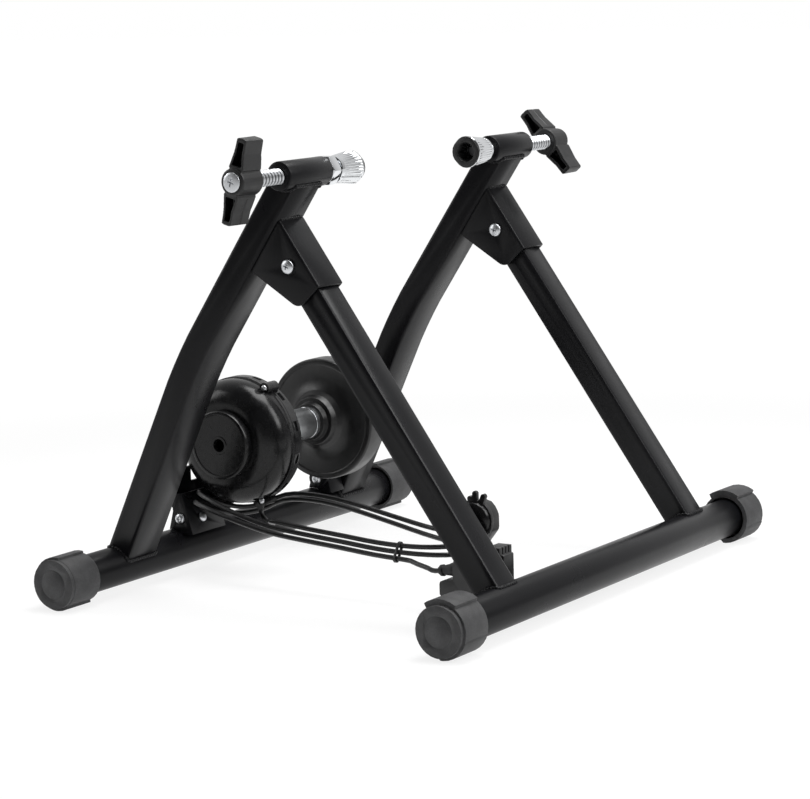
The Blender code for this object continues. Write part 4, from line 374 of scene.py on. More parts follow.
def cut_with(item, cutter, operation="DIFFERENCE"):
    """Cut a piece with another object, or join them, and remove that object."""
    pick(item)
    modify("BOOLEAN", object=cutter, operation=operation, solver="EXACT")
    bpy.data.objects.remove(cutter, do_unlink=True)
    pick(item)


def draw(points):
    """Draw a line of vertices in a new mesh, left in edit mode."""
    clear_selection()
    bpy.ops.mesh.primitive_plane_add(size=MM, enter_editmode=True, location=points[0])
    bpy.ops.mesh.merge(type="CENTER")
    for here, there in zip(points, points[1:]):
        step = Vector(there) - Vector(here)
        bpy.ops.mesh.extrude_vertices_move(TRANSFORM_OT_translate={"value": step})


def turn_profile(profile, centre, steps=96, closed=True):
    """Turn an (x, radius) outline about a line along X, left active in object mode."""
    y, z = centre
    points = [(x, y, z + radius) for x, radius in profile]
    if closed:
        points.append(points[0])
    draw(points)
    select_mesh()
    bpy.ops.mesh.spin(steps=steps, angle=2 * math.pi, center=(0, y, z), axis=(1, 0, 0), use_auto_merge=True)
    select_mesh()
    bpy.ops.mesh.remove_doubles(threshold=0.002 * MM)
    return point_outwards()


def settle(name, node, finish, smooth=40):
    """Name and shade the active piece, fix its place, and put it in its node's stead."""
    leave_edit()
    item = bpy.context.view_layer.objects.active
    pick(item)
    bpy.ops.object.transform_apply(location=True, rotation=True, scale=True)
    bpy.ops.object.shade_smooth_by_angle(angle=math.radians(smooth))
    item.name = name
    item.data.name = name
    coat(item, finish)
    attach(item, frame["nodes"][node]["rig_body"])
    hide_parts(node)


def threaded_rod(x_from, x_to, radius, pitch):
    """A rod along the wheel axle's line with a right-hand V thread, its ends cut flat."""
    y, z = AXLE
    depth = THREAD_DEPTH_SHARE * pitch
    turns = math.ceil((x_to - x_from) / pitch) + 2
    start = x_to + pitch
    flank = pitch / 2
    draw([(start, y, z + radius - depth), (start + flank, y, z + radius),
          (start + 2 * flank, y, z + radius - depth)])
    select_mesh()
    bpy.ops.mesh.screw(steps=32, turns=turns, center=(start, y, z), axis=(-1, 0, 0))
    select_mesh()
    bpy.ops.mesh.remove_doubles(threshold=0.001 * MM)
    for x, outer in ((x_from, False), (x_to, True)):
        select_mesh()
        bpy.ops.mesh.bisect(plane_co=(x, y, z), plane_no=(1, 0, 0), use_fill=True,
                            clear_inner=not outer, clear_outer=outer)
    select_mesh()
    point_outwards()


def choose(test):
    """Select the active piece's vertices that a test of their place picks, in edit mode."""
    item = bpy.context.object
    edit()
    bpy.ops.mesh.select_all(action="DESELECT")
    bpy.ops.mesh.select_mode(type="VERT")
    leave_edit()
    for vertex in item.data.vertices:
        vertex.select = bool(test(item.matrix_world @ vertex.co))
    edit()


def new_curve(name, points, radius, resolution, closed=False, radii=None):
    """A round bar along a line of points, left active as a curve."""
    clear_selection()
    bpy.ops.curve.primitive_nurbs_path_add(location=(0, 0, 0))
    item = bpy.context.object
    curve = item.data
    curve.splines.clear()
    line = curve.splines.new("POLY")
    line.points.add(len(points) - 1)
    for index, place in enumerate(points):
        line.points[index].co = (*place, 1.0)
        line.points[index].radius = radii[index] if radii else 1.0
    line.use_cyclic_u = closed
    curve.bevel_depth = radius
    curve.bevel_resolution = resolution
    curve.use_fill_caps = not closed
    item.name = name
    return item


class TRAINER_OT_axle_cups(bpy.types.Operator):
    """Model the fluted chrome cups of the axle clamps"""
    bl_idname = "trainer.axle_cups"
    bl_label = "Axle Cups"
    bl_options = {"REGISTER", "UNDO"}

    def execute(self, context):
        for side in SIDES:
            self.model(side, context.scene.trainer_sizes)
        return {"FINISHED"}

    def model(self, side, sizes):
        node = f"clamp_cup_{side}"
        low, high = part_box(node)
        sign = -1 if side == "right" else 1
        lip, back = (high.x, low.x) if side == "right" else (low.x, high.x)
        length = abs(back - lip)

        def at(depth):
            return lip + sign * depth

        taper = 3.15 * MM
        lip_radius = radius_of(node)
        back_radius = lip_radius - taper
        slope = (lip_radius - back_radius) / length

        def cone(depth):
            return lip_radius - slope * depth

        edge, rim = 0.5 * MM, 1.6 * MM
        first, last, ramp = 2.2 * MM, length - 3.4 * MM, 0.7 * MM
        socket_from, web_from, web_to = 6.0 * MM, 9.3 * MM, 10.4 * MM
        bore, hole, socket = 7.35 * MM, 5.3 * MM, 8.5 * MM
        profile = [(at(0), lip_radius - rim), (at(0), lip_radius - edge), (at(edge), cone(edge)),
                   (at(first), cone(first)), (at(first + ramp), cone(first + ramp)),
                   (at(last - ramp), cone(last - ramp)), (at(last), cone(last)),
                   (at(length - edge), cone(length - edge)), (at(length), back_radius - edge),
                   (at(length), bore), (at(web_to), bore), (at(web_to), hole),
                   (at(web_from), hole), (at(web_from), socket), (at(socket_from), socket)]
        flutes = sizes.cup_flutes
        turn_profile(profile, AXLE, steps=flutes * 4)
        step = 2 * math.pi / flutes
        begin, end = sorted((at(first + ramp / 2), at(last - ramp / 2)))
        # The part of each step round the cup that is pressed in
        pressed_from, pressed_to = 0.15, 0.60

        def in_flute(place):
            across, up = place.y - AXLE[0], place.z - AXLE[1]
            share = (math.atan2(up, across) % (2 * math.pi) - math.pi / 2) / step % 1.0
            outside = math.hypot(across, up) > back_radius - MM
            return begin < place.x < end and outside and pressed_from < share < pressed_to

        choose(in_flute)
        squeeze = 1 - sizes.flute_depth / lip_radius
        bpy.ops.transform.resize(value=(1, squeeze, squeeze), center_override=(0, *AXLE))
        settle(f"axle_cup_{side}", node, "chrome", smooth=28)


class TRAINER_OT_spindles(bpy.types.Operator):
    """Model the threaded clamp spindles"""
    bl_idname = "trainer.spindles"
    bl_label = "Clamp Spindles"
    bl_options = {"REGISTER", "UNDO"}

    def execute(self, context):
        sizes = context.scene.trainer_sizes
        for side in SIDES:
            node = f"clamp_spindle_{side}"
            low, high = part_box(node)
            nose, inset = 1.5 * MM, 0.02 * MM
            x_from, x_to = (low.x, high.x - nose) if side == "right" else (low.x + nose, high.x)
            threaded_rod(x_from, x_to, radius_of(node) - inset, sizes.thread_pitch)
            settle(f"spindle_{side}", node, "thread", smooth=30)
        return {"FINISHED"}


class TRAINER_OT_roller(bpy.types.Operator):
    """Model the polished steel roller"""
    bl_idname = "trainer.roller"
    bl_label = "Roller"
    bl_options = {"REGISTER", "UNDO"}

    def execute(self, context):
        low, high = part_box("roller")
        radius = radius_of("roller")
        edge, step, bore = 0.8 * MM, 0.5 * MM, 5.3 * MM
        groove_from, groove_to = 5 * MM, 6 * MM
        profile = []
        for x, way in ((low.x, 1), (high.x, -1)):
            half = [(x, bore), (x, radius - edge), (x + way * edge * 0.4, radius - edge * 0.4),
                    (x + way * edge, radius), (x + way * groove_from, radius),
                    (x + way * (groove_from + step / 2), radius - step),
                    (x + way * (groove_to + step / 2), radius - step),
                    (x + way * (groove_to + step), radius)]
            profile += half if way > 0 else half[::-1]
        turn_profile(profile, UNIT, steps=128)
        settle("roller_drum", "roller", "roller_steel", smooth=30)
        return {"FINISHED"}


class TRAINER_OT_floor_caps(bpy.types.Operator):
    """Model the stepped end caps of the floor tubes"""
    bl_idname = "trainer.floor_caps"
    bl_label = "Floor Caps"
    bl_options = {"REGISTER", "UNDO"}

    def execute(self, context):
        sizes = context.scene.trainer_sizes
        for node in FOOT_NODES:
            low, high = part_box(node)
            tube = node.split("_")[0] + "_floor_tube"
            outside = -1 if node.endswith("right") else 1
            face = low.x if outside < 0 else high.x
            cap = copy_of(node)
            round_edges(sizes.cap_edge, segments=3, angle=40)
            cut_with(cap, self.ring(face, outside, middle_of(tube), sizes))
            flatten_shading()
            settle(node.replace("cap", "foot"), node, "foot", smooth=35)
        return {"FINISHED"}

    def ring(self, face, outside, centre, sizes):
        """A shallow V ring sunk in the cap's face."""
        half = sizes.cap_ring_width / 2
        radius = sizes.cap_ring_radius
        profile = [(face + outside * MM, radius - 2 * half), (face + outside * MM, radius + 2 * half),
                   (face - outside * half * 0.6, radius)]
        return turn_profile(profile, centre)


def turned_tube(node, bore, edge):
    """A plain tube along X in its node's place, with its end edges rounded."""
    low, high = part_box(node)
    radius = radius_of(node)
    half = edge * 0.3
    profile = [(low.x, bore), (low.x, radius - edge), (low.x + half, radius - half), (low.x + edge, radius),
               (high.x - edge, radius), (high.x - half, radius - half), (high.x, radius - edge),
               (high.x, bore)]
    turn_profile(profile, middle_of(node))


class TRAINER_OT_tubes(bpy.types.Operator):
    """Model the floor tubes and the clamp tubes"""
    bl_idname = "trainer.tubes"
    bl_label = "Round Tubes"
    bl_options = {"REGISTER", "UNDO"}

    def execute(self, context):
        floor_bore, clamp_bore, floor_edge = 15.7 * MM, 7.3 * MM, 0.5 * MM
        clamp_edge = context.scene.trainer_sizes.clamp_tube_edge
        for end in ("front", "rear"):
            turned_tube(f"{end}_floor_tube", floor_bore, floor_edge)
            settle(f"{end}_tube", f"{end}_floor_tube", "black_paint")
        for side in SIDES:
            turned_tube(f"clamp_tube_{side}", clamp_bore, clamp_edge)
            settle(f"clamp_sleeve_{side}", f"clamp_tube_{side}", "black_paint", smooth=50)
        return {"FINISHED"}


class TRAINER_OT_flywheel(bpy.types.Operator):
    """Model the turned flywheel"""
    bl_idname = "trainer.flywheel"
    bl_label = "Flywheel"
    bl_options = {"REGISTER", "UNDO"}

    def execute(self, context):
        low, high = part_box("flywheel")
        # Millimetres along the axle and out from it: the bore and hub, the dished near face, the rim, the
        # hollow far face and the long hub
        length, rim = 71.9, 58.0
        outline = [(0.0, 5.3), (0.0, 17.6), (6.0, 18.5), (6.0, 22.6), (11.5, 24.6), (15.6, 28.6),
                   (18.2, 34.0), (19.4, 41.0), (19.4, 52.0), (18.9, 53.0), (19.3, 57.2), (21.2, rim),
                   (40.7, rim), (42.2, 56.0), (42.2, 47.0), (32.2, 44.0), (32.2, 19.5), (45.2, 8.8),
                   (length, 8.8), (length, 5.3)]
        scale = radius_of("flywheel") / (rim * MM)
        along = (high.x - low.x) / (length * MM)
        turn_profile([(low.x + x * MM * along, radius * MM * scale) for x, radius in outline], UNIT, 128)
        round_edges(context.scene.trainer_sizes.flywheel_edge, segments=3, angle=18)
        flatten_shading()
        settle("flywheel_disc", "flywheel", "flywheel_black", smooth=35)
        return {"FINISHED"}


def rod_at(centre, radius, length, turn=(0, math.pi / 2, 0)):
    """A plain cylinder, along X if not turned another way, to join or cut with."""
    clear_selection()
    bpy.ops.mesh.primitive_cylinder_add(vertices=24, radius=radius, depth=length, rotation=turn,
                                        location=centre)
    return bpy.context.object


def rod_between(x0, x1, radius, centre):
    """A rod along X from one place to another, its middle at (y, z)."""
    return rod_at(((x0 + x1) / 2, *centre), radius, abs(x1 - x0))


def box_at(size, centre, turn):
    """A box turned about X, to cut with."""
    clear_selection()
    bpy.ops.mesh.primitive_cube_add(size=1, location=centre, rotation=(turn, 0, 0))
    item = bpy.context.object
    item.scale = size
    return item


class TRAINER_OT_magnet_housing(bpy.types.Operator):
    """Model the magnet housing: slotted back, domed cover and boss"""
    bl_idname = "trainer.magnet_housing"
    bl_label = "Magnet Housing"
    bl_options = {"REGISTER", "UNDO"}

    def execute(self, context):
        sizes = context.scene.trainer_sizes
        lugs = [middle_of(f"cover_screw_{index}") for index in (1, 2)]
        self.back(lugs, sizes.housing_slots, sizes.housing_slot_length)
        self.cover(lugs)
        self.boss(sizes.boss_border)
        return {"FINISHED"}

    def back(self, lugs, slots, slot_length):
        low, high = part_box("housing_back")
        front, rear, rim, wall = low.x, high.x, HOUSING_RADIUS, 3.0 * MM
        hole, well, sleeve = 8.0 * MM, 13.3 * MM, 16.3 * MM
        band, waist, chamfer = rear - 5.9 * MM, rim - 2.2 * MM, 0.3 * MM
        well_floor, sleeve_end = rear - 2.7 * MM, front + 4.5 * MM
        profile = [(rear, hole), (rear, rim - 4.4 * MM), (rear - 1.1 * MM, waist), (band + 0.6 * MM, waist),
                   (band, rim - chamfer), (band - chamfer, rim), (front, rim), (front, rim - wall),
                   (rear - wall, rim - wall), (rear - wall, sleeve), (sleeve_end, sleeve), (sleeve_end, well),
                   (well_floor, well), (well_floor, hole)]
        item = turn_profile(profile, UNIT, 128)
        for centre in lugs:
            cut_with(item, rod_between(front, front + 8.5 * MM, LUG_RADIUS, centre), "UNION")
        slot_width, slot_depth = 4.2 * MM, 1.6 * MM
        for index in range(slots):
            angle = 2 * math.pi * (index + 0.5) / slots
            centre = ((front + band) / 2, UNIT[0] + rim * math.cos(angle), UNIT[1] + rim * math.sin(angle))
            cut_with(item, box_at((slot_width, slot_depth, slot_length), centre, angle))
        gland, outward = gland_line()
        turn = math.atan2(outward.z, outward.y) - math.pi / 2
        cut_with(item, rod_at(gland, CABLE_RADIUS + CLEARANCE, wall * 4, (turn, 0, 0)))
        round_edges(0.3 * MM, angle=30)
        flatten_shading()
        settle("housing_shell", "housing_back", "gloss_plastic", smooth=35)

    def cover(self, lugs):
        low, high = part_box("housing_cover")
        face, joint, rim = low.x, high.x, HOUSING_RADIUS
        wall, hole, chamfer = 2.7 * MM, 8.9 * MM, 0.3 * MM
        shoulder, crown = joint - 9.2 * MM, 35.9 * MM
        dome_radius = rim - 1.2 * MM
        steps = 14
        dome = []
        for k in range(steps + 1):
            turn = math.pi / 2 * k / steps
            dome.append((shoulder + (face - shoulder) * math.sin(turn),
                         crown + (dome_radius - crown) * math.cos(turn)))
        inner = [(x + wall, radius - wall) for x, radius in reversed(dome[2::4])]
        lip = [(joint, rim - 3 * MM), (joint, rim - chamfer), (joint - chamfer, rim), (joint - 2.8 * MM, rim),
               (joint - 3.4 * MM, dome_radius)]
        item = turn_profile(lip + dome + [(face, hole), (face + wall, hole)] + inner, UNIT, 128)
        seat, reach, screw_head = joint - 7.15 * MM, 12 * MM, 3.8 * MM
        for centre in lugs:
            cut_with(item, rod_between(joint - 7.0 * MM, joint, LUG_RADIUS, centre), "UNION")
            cut_with(item, rod_between(seat - reach, seat, screw_head, centre))
        round_edges(0.35 * MM, angle=30)
        flatten_shading()
        settle("housing_dome", "housing_cover", "gloss_plastic", smooth=35)

    def boss(self, border):
        low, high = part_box("boss_cap")
        face, back, radius = low.x, high.x, radius_of("boss_cap")
        skirt, edge, sunk, floor = 9.2 * MM, 1.5 * MM, 0.7 * MM, face + 3 * MM
        nib, dimple, dimple_floor = 8.6 * MM, 6.0 * MM, 4.8 * MM
        profile = [(back, skirt), (back, radius), (face + edge, radius), (face + 0.5 * MM, radius - 0.5 * MM),
                   (face, radius - edge), (face, radius - border), (face + sunk, radius - border - sunk),
                   (face + sunk, nib), (face, 7.9 * MM), (face, dimple), (floor, dimple_floor),
                   (floor, skirt)]
        turn_profile(profile, UNIT, 128)
        settle("boss_disc", "boss_cap", "gloss_plastic", smooth=35)


def domed_screw(node, name, head_radius, shank_radius, head_height, outward):
    """A low round-headed screw along X with a cross recess."""
    low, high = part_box(node)
    top, tip = (low.x, high.x) if outward < 0 else (high.x, low.x)
    seat = top - outward * head_height
    profile = [(tip, 0.0), (tip, shank_radius), (seat, shank_radius), (seat, head_radius)]
    steps = 8
    for k in range(1, steps + 1):
        turn = math.pi / 2 * k / steps
        profile.append((seat + outward * head_height * (0.25 + 0.75 * math.sin(turn)),
                        head_radius * math.cos(turn)))
    profile[-1] = (top, 0.0)
    item = turn_profile(profile, middle_of(node), 64, closed=False)
    arm, blade, depth = head_radius * 0.80, head_radius * 0.15, head_height * 1.7
    for size in ((depth, arm, blade), (depth, blade, arm)):
        cut_with(item, box_at(size, (top, *middle_of(node)), math.radians(20)))
    round_edges(0.12 * MM, angle=35)
    settle(name, node, "zinc", smooth=35)


class TRAINER_OT_screws(bpy.types.Operator):
    """Model the cross-head screws of the knobs and the fold pivots"""
    bl_idname = "trainer.screws"
    bl_label = "Cross-head Screws"
    bl_options = {"REGISTER", "UNDO"}

    def execute(self, context):
        # Radius of the head and of the shank, and height of the head
        knob_screw = (8.3 * MM, 2.3 * MM, 1.6 * MM)
        pivot_bolt = (6.2 * MM, 4.0 * MM, 3.6 * MM)
        for side in SIDES:
            outward = -1 if side == "right" else 1
            domed_screw(f"knob_screw_{side}", f"knob_bolt_{side}", *knob_screw, outward)
            domed_screw(f"pivot_bolt_{side}", f"fold_bolt_{side}", *pivot_bolt, -1)
        return {"FINISHED"}


class TRAINER_OT_knobs(bpy.types.Operator):
    """Model the two-winged moulded knobs"""
    bl_idname = "trainer.knobs"
    bl_label = "Clamp Knobs"
    bl_options = {"REGISTER", "UNDO"}

    def execute(self, context):
        for side in SIDES:
            copy_of(f"clamp_knob_{side}")
            modify("REMESH", mode="VOXEL", voxel_size=context.scene.trainer_sizes.knob_mesh)
            modify("SMOOTH", factor=0.5, iterations=8)
            settle(f"knob_{side}", f"clamp_knob_{side}", "black_plastic", smooth=180)
        return {"FINISHED"}


def saddle(node, radius, centre):
    """The seam where a leg's end meets a tube, as (x, distance round the tube) corners of its outline."""
    marks = set()
    for vertex in frame["nodes"][node].data.vertices:
        across, up = vertex.co.y - centre[0], vertex.co.z - centre[1]
        if abs(math.hypot(across, up) - radius) < 0.1 * MM:
            marks.add((round(vertex.co.x, 6), round(radius * math.atan2(up, across), 6)))
    outline = []
    for way in (1, -1):
        side = []
        for mark in sorted(marks, key=lambda m: (way * m[0], way * m[1])):
            while len(side) > 1 and turn_of(side[-2], side[-1], mark) <= 0:
                side.pop()
            side.append(mark)
        outline += side[:-1]
    return outline


def turn_of(a, b, c):
    """Positive where the line a, b, c turns left."""
    return (b[0] - a[0]) * (c[1] - a[1]) - (b[1] - a[1]) * (c[0] - a[0])


class TRAINER_OT_weld_beads(bpy.types.Operator):
    """Model the weld beads where tubes and brackets meet"""
    bl_idname = "trainer.weld_beads"
    bl_label = "Weld Beads"
    bl_options = {"REGISTER", "UNDO"}

    def execute(self, context):
        radius = context.scene.trainer_sizes.bead_radius
        spacing = radius * 0.4
        seams = (("front_leg", "front_floor_tube"), ("rear_leg", "rear_floor_tube"),
                 ("rear_leg", "clamp_tube_right"))
        for leg, tube in seams:
            centre = middle_of(tube)
            reach = radius_of(tube) + CLEARANCE
            for side in SIDES:
                node = f"{leg}_{side}"
                corners = saddle(node, reach, centre)
                points = []
                for here, there in zip(corners, corners[1:] + corners[:1]):
                    count = max(1, round(math.dist(here, there) / spacing))
                    for k in range(count):
                        x, arc = (a + (b - a) * k / count for a, b in zip(here, there))
                        points.append((x, centre[0] + reach * math.cos(arc / reach),
                                       centre[1] + reach * math.sin(arc / reach)))
                self.bead(f"weld_{leg}_{tube.split('_')[0]}_{side}", node, points, radius, True)
        for side in SIDES:
            node = f"fold_bracket_{side}"
            low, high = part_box(node)
            inset, back, sunk = 3.5 * MM, 5.2 * MM, 0.4 * MM
            length = high.x - low.x - 2 * inset
            count = round(length / spacing)
            points = [(low.x + inset + length * k / count, back, high.z - sunk) for k in range(count + 1)]
            self.bead(f"weld_bracket_{side}", node, points, radius * 1.25, False)
        return {"FINISHED"}

    def bead(self, name, node, points, radius, closed):
        """A rippled bead: a curve whose thickness rises and falls along it, turned into a mesh."""
        # Two waves of unlike length, so that the ripples are uneven, as a hand lays them
        radii = [1.0 + 0.15 * (math.sin(k * 1.35) + 0.5 * math.sin(k * 0.53 + 1.0))
                 for k in range(len(points))]
        pick(new_curve(name, points, radius, 3, closed, radii))
        bpy.ops.object.convert(target="MESH")
        item = bpy.context.object
        bpy.ops.object.shade_smooth_by_angle(angle=math.radians(60))
        coat(item, "black_paint")
        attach(item, frame["nodes"][node]["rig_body"])


# Control cable: the source's route, whose points are repeated here

GLAND_X = -0.0510
GLAND_ANGLE = math.radians(-100)
GLAND_LENGTH = 0.0080
BOOT_X = -0.1245
BOOT_TIP_Y = -0.1065
BOOT_TIP_Z = 0.0362
BOOT_LENGTH = 0.0170
BOOT_RISE = math.radians(-9)
HANK_LOOPS = 2
HANK_POINTS_PER_LOOP = 24
HANK_STEP = 0.0056
HANK_LEAN = math.radians(56)
HANK_ENDS_SPREAD = 0.75
HANK_END_AT = 0.02
HANK_CLIMB_FROM = 0.60
HANK_CLIMB_SHARE = 0.30
HANK_FROM = 0.215
HANK_TO = 0.415
HANK_ROUTE = (
    (-0.0880, 0.1740, 0.0750), (-0.1010, 0.1610, 0.0755), (-0.1070, 0.1280, 0.0660),
    (-0.1100, 0.0800, 0.0555), (-0.1110, 0.0150, 0.0500), (-0.1120, -0.0480, 0.0455),
    (-0.1100, -0.0980, 0.0460), (-0.0900, -0.1170, 0.0470), (-0.0620, -0.0840, 0.0455),
    (-0.0440, -0.0300, 0.0495), (-0.0390, 0.0440, 0.0645), (-0.0350, 0.1080, 0.0690),
    (-0.0400, 0.1480, 0.0560), (-0.0620, 0.1690, 0.0610),
)
LEAD_IN = ((-0.0620, 0.1180, 0.0480), (-0.0860, 0.0950, 0.0520))
LEAD_OUT = ((-0.1190, -0.0800, 0.0385), (-0.1230, -0.0940, 0.0368))
CABLE_POINT_SPACING = 0.0120


def spline_point(points, position, closed):
    """A Catmull-Rom curve through points, at a position counted in points."""
    count = len(points)
    index = math.floor(position)
    local = position - index

    def near(k):
        return Vector(points[k % count]) if closed else Vector(points[min(max(k, 0), count - 1)])

    a, b, c, d = (near(index + k) for k in (-1, 0, 1, 2))
    return 0.5 * (2 * b + (c - a) * local + (2 * a - 5 * b + 4 * c - d) * local ** 2
                  + (3 * b - a - 3 * c + d) * local ** 3)


def smooth_step(value):
    value = min(max(value, 0.0), 1.0)
    return value * value * (3 - 2 * value)


def hank_point(turn):
    """A point of the hank after a number of turns; each turn climbs one step along its far run."""
    share = turn % 1.0
    middle = spline_point(HANK_ROUTE, share * len(HANK_ROUTE), True)
    level = math.floor(turn) + smooth_step((share - HANK_CLIMB_FROM) / HANK_CLIMB_SHARE) - HANK_LOOPS / 2
    ends = math.cos(2 * math.pi * (share - HANK_END_AT)) ** 4
    spread_now = HANK_STEP * (1.0 + HANK_ENDS_SPREAD * ends)
    return middle + Vector((-math.cos(HANK_LEAN), 0.0, -math.sin(HANK_LEAN))) * spread_now * level


def gland_line():
    """Where the cable leaves the housing's rim, and the way that it points there."""
    outward = Vector((0, math.cos(GLAND_ANGLE), math.sin(GLAND_ANGLE)))
    return Vector((GLAND_X, *UNIT)) + outward * HOUSING_RADIUS, outward


def cable_route():
    """Points from the housing's gland, round the hank, to the shifter's boot."""
    gland, outward = gland_line()
    mouth = Vector((BOOT_X, BOOT_TIP_Y, BOOT_TIP_Z))
    axis = Vector((0, math.cos(BOOT_RISE), math.sin(BOOT_RISE)))
    straight = 2 * CABLE_RADIUS
    first = [gland - outward * CABLE_RADIUS / 2, gland + outward * (GLAND_LENGTH + straight)]
    last = [mouth + axis * straight, mouth - axis * (BOOT_LENGTH - CABLE_RADIUS)]
    turns = []
    turn = HANK_FROM
    while turn < HANK_LOOPS + HANK_TO:
        turns.append(hank_point(turn))
        turn += 1.0 / HANK_POINTS_PER_LOOP
    controls = first + [Vector(p) for p in LEAD_IN] + turns + [Vector(p) for p in LEAD_OUT] + last
    points = []
    for index in range(len(controls) - 1):
        length = (controls[index + 1] - controls[index]).length
        in_hank = 3 < index < 3 + len(turns)
        straight_end = index in (0, len(controls) - 2)
        parts = 1 if in_hank or straight_end else max(1, math.ceil(length / CABLE_POINT_SPACING))
        for part in range(parts):
            points.append(spline_point(controls, index + part / parts, False))
    return points + [controls[-1]]


COLOUR = {"subtype": "COLOR", "size": 3, "min": 0, "max": 1}


class TrainerColours(bpy.types.PropertyGroup):
    frame_paint: FloatVectorProperty(
        name="Frame paint", description="Powder coat of the tubes and brackets",
        default=linear("121214"), **COLOUR)
    moulding: FloatVectorProperty(
        name="Mouldings", description="Knobs, inserts and shifter",
        default=linear("141415"), **COLOUR)
    foot_rubber: FloatVectorProperty(
        name="Feet", description="Stepped end caps of the floor tubes",
        default=linear("2c2c2d"), **COLOUR)
    housing: FloatVectorProperty(
        name="Housing", description="Polished magnet housing",
        default=linear("101011"), **COLOUR)
    cable: FloatVectorProperty(
        name="Cable", description="Sheath of the control cable",
        default=linear("0f0f10"), **COLOUR)
    flywheel: FloatVectorProperty(
        name="Flywheel", description="Enamel of the flywheel",
        default=linear("0c0c0d"), **COLOUR)
    zinc: FloatVectorProperty(
        name="Zinc", description="Plating of the spindles, nuts and bolts",
        default=linear("d3d5d8"), **COLOUR)
    chrome: FloatVectorProperty(
        name="Chrome", description="Plating of the axle cups and screws",
        default=linear("e4e6e8"), **COLOUR)
    roller: FloatVectorProperty(
        name="Roller", description="Turned steel of the roller",
        default=linear("d6d8da"), **COLOUR)


class TrainerSizes(bpy.types.PropertyGroup):
    cup_flutes: IntProperty(name="Cup flutes", description="Flutes round each axle cup", default=36, min=12)
    flute_depth: FloatProperty(
        name="Flute depth", description="Depth of a flute", unit="LENGTH", default=0.55 * MM, min=0)
    thread_pitch: FloatProperty(
        name="Thread pitch", description="Pitch drawn on the clamp spindles, coarse enough to show",
        unit="LENGTH", default=4.4 * MM, min=0.5 * MM)
    clamp_tube_edge: FloatProperty(
        name="Clamp tube edge", description="Rounding of the clamp tubes' ends", unit="LENGTH",
        default=1.2 * MM, min=0.1 * MM)
    flywheel_edge: FloatProperty(
        name="Flywheel edge", description="Rounding of the flywheel's edges", unit="LENGTH",
        default=0.6 * MM, min=0.1 * MM)
    housing_slots: IntProperty(
        name="Housing slots", description="Slots round the housing's back", default=12, min=3)
    housing_slot_length: FloatProperty(
        name="Housing slot length", description="Length of a slot round the rim", unit="LENGTH",
        default=9 * MM, min=MM)
    boss_border: FloatProperty(
        name="Boss border", description="Width of the boss's raised border", unit="LENGTH",
        default=3.2 * MM, min=MM)
    knob_mesh: FloatProperty(
        name="Knob mesh", description="Mesh size of the knobs' blended surface", unit="LENGTH",
        default=0.45 * MM, min=0.3 * MM)
    bead_radius: FloatProperty(
        name="Bead radius", description="Half the width of a weld bead", unit="LENGTH",
        default=1.7 * MM, min=0.5 * MM)
    cap_edge: FloatProperty(
        name="Cap edge", description="Rounding of the floor caps' edges", unit="LENGTH",
        default=0.8 * MM, min=0)
    cap_ring_radius: FloatProperty(
        name="Cap ring radius", description="Radius of the ring in a cap's face", unit="LENGTH",
        default=13.0 * MM, min=0)
    cap_ring_width: FloatProperty(
        name="Cap ring width", description="Width of the ring in a cap's face", unit="LENGTH",
        default=0.7 * MM, min=0)


class TrainerStage(bpy.types.PropertyGroup):
    camera_place: FloatVectorProperty(
        name="Camera place", description="Where the photograph was taken from",
        subtype="TRANSLATION", unit="LENGTH", size=3, default=(-2.0464, -1.3327, 0.5348))
    azimuth: FloatProperty(
        name="Azimuth", description="Turn of the view about Z, from a view along +Y",
        subtype="ANGLE", default=math.radians(-56.83))
    elevation: FloatProperty(
        name="Elevation", description="How far the camera looks down",
        subtype="ANGLE", default=math.radians(8.74))
    roll: FloatProperty(
        name="Roll", description="Turn of the picture about the line of sight",
        subtype="ANGLE", default=math.radians(-1.68))
    lens: FloatProperty(
        name="Lens", description="Focal length in millimetres on a 36 mm sensor", default=121.56, min=10)
    floor_colour: FloatVectorProperty(
        name="Floor", description="Pale studio floor",
        default=linear("fbfbfb"), **COLOUR)
    softbox_power: FloatProperty(
        name="Softbox power", description="Power of the overhead softbox in watts", default=45, min=0)
    cove_level: FloatProperty(
        name="Cove level", description="Brightness of the white cove behind the trainer", default=0.75, min=0)
    room_level: FloatProperty(
        name="Room level", description="Brightness of the room behind the camera", default=0.10, min=0)
    pool_from: FloatProperty(
        name="Pool from", description="Distance at which the lit pool of floor starts to fade in reflections",
        unit="LENGTH", default=0.45, min=0)
    pool_to: FloatProperty(
        name="Pool to", description="Distance at which the lit pool of floor has faded in reflections",
        unit="LENGTH", default=1.30, min=0)
    cove_from: FloatProperty(
        name="Cove from", description="Cosine at which the cove starts to lighten", default=-0.35)
    cove_to: FloatProperty(
        name="Cove to", description="Cosine from which the cove is at its full level", default=0.75)


class TRAINER_OT_control_cable(bpy.types.Operator):
    """Model the control cable on its hank's route"""
    bl_idname = "trainer.control_cable"
    bl_label = "Control Cable"
    bl_options = {"REGISTER", "UNDO"}

    def execute(self, context):
        route = cable_route()
        finer = [spline_point(route, index / 3, False) for index in range(len(route) * 3 - 2)]
        item = new_curve("cable_line", finer, CABLE_RADIUS, 6)
        coat(item, "cable_sheath")
        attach(item, frame["nodes"]["control_cable"]["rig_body"])
        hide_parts("control_cable")
        return {"FINISHED"}


class TRAINER_OT_cad_finishes(bpy.types.Operator):
    """Coat every node of the frame with its finish"""
    bl_idname = "trainer.cad_finishes"
    bl_label = "Frame Finishes"
    bl_options = {"REGISTER", "UNDO"}

    def execute(self, context):
        for name, item in frame["nodes"].items():
            coat(item, finish_of(name))
        return {"FINISHED"}


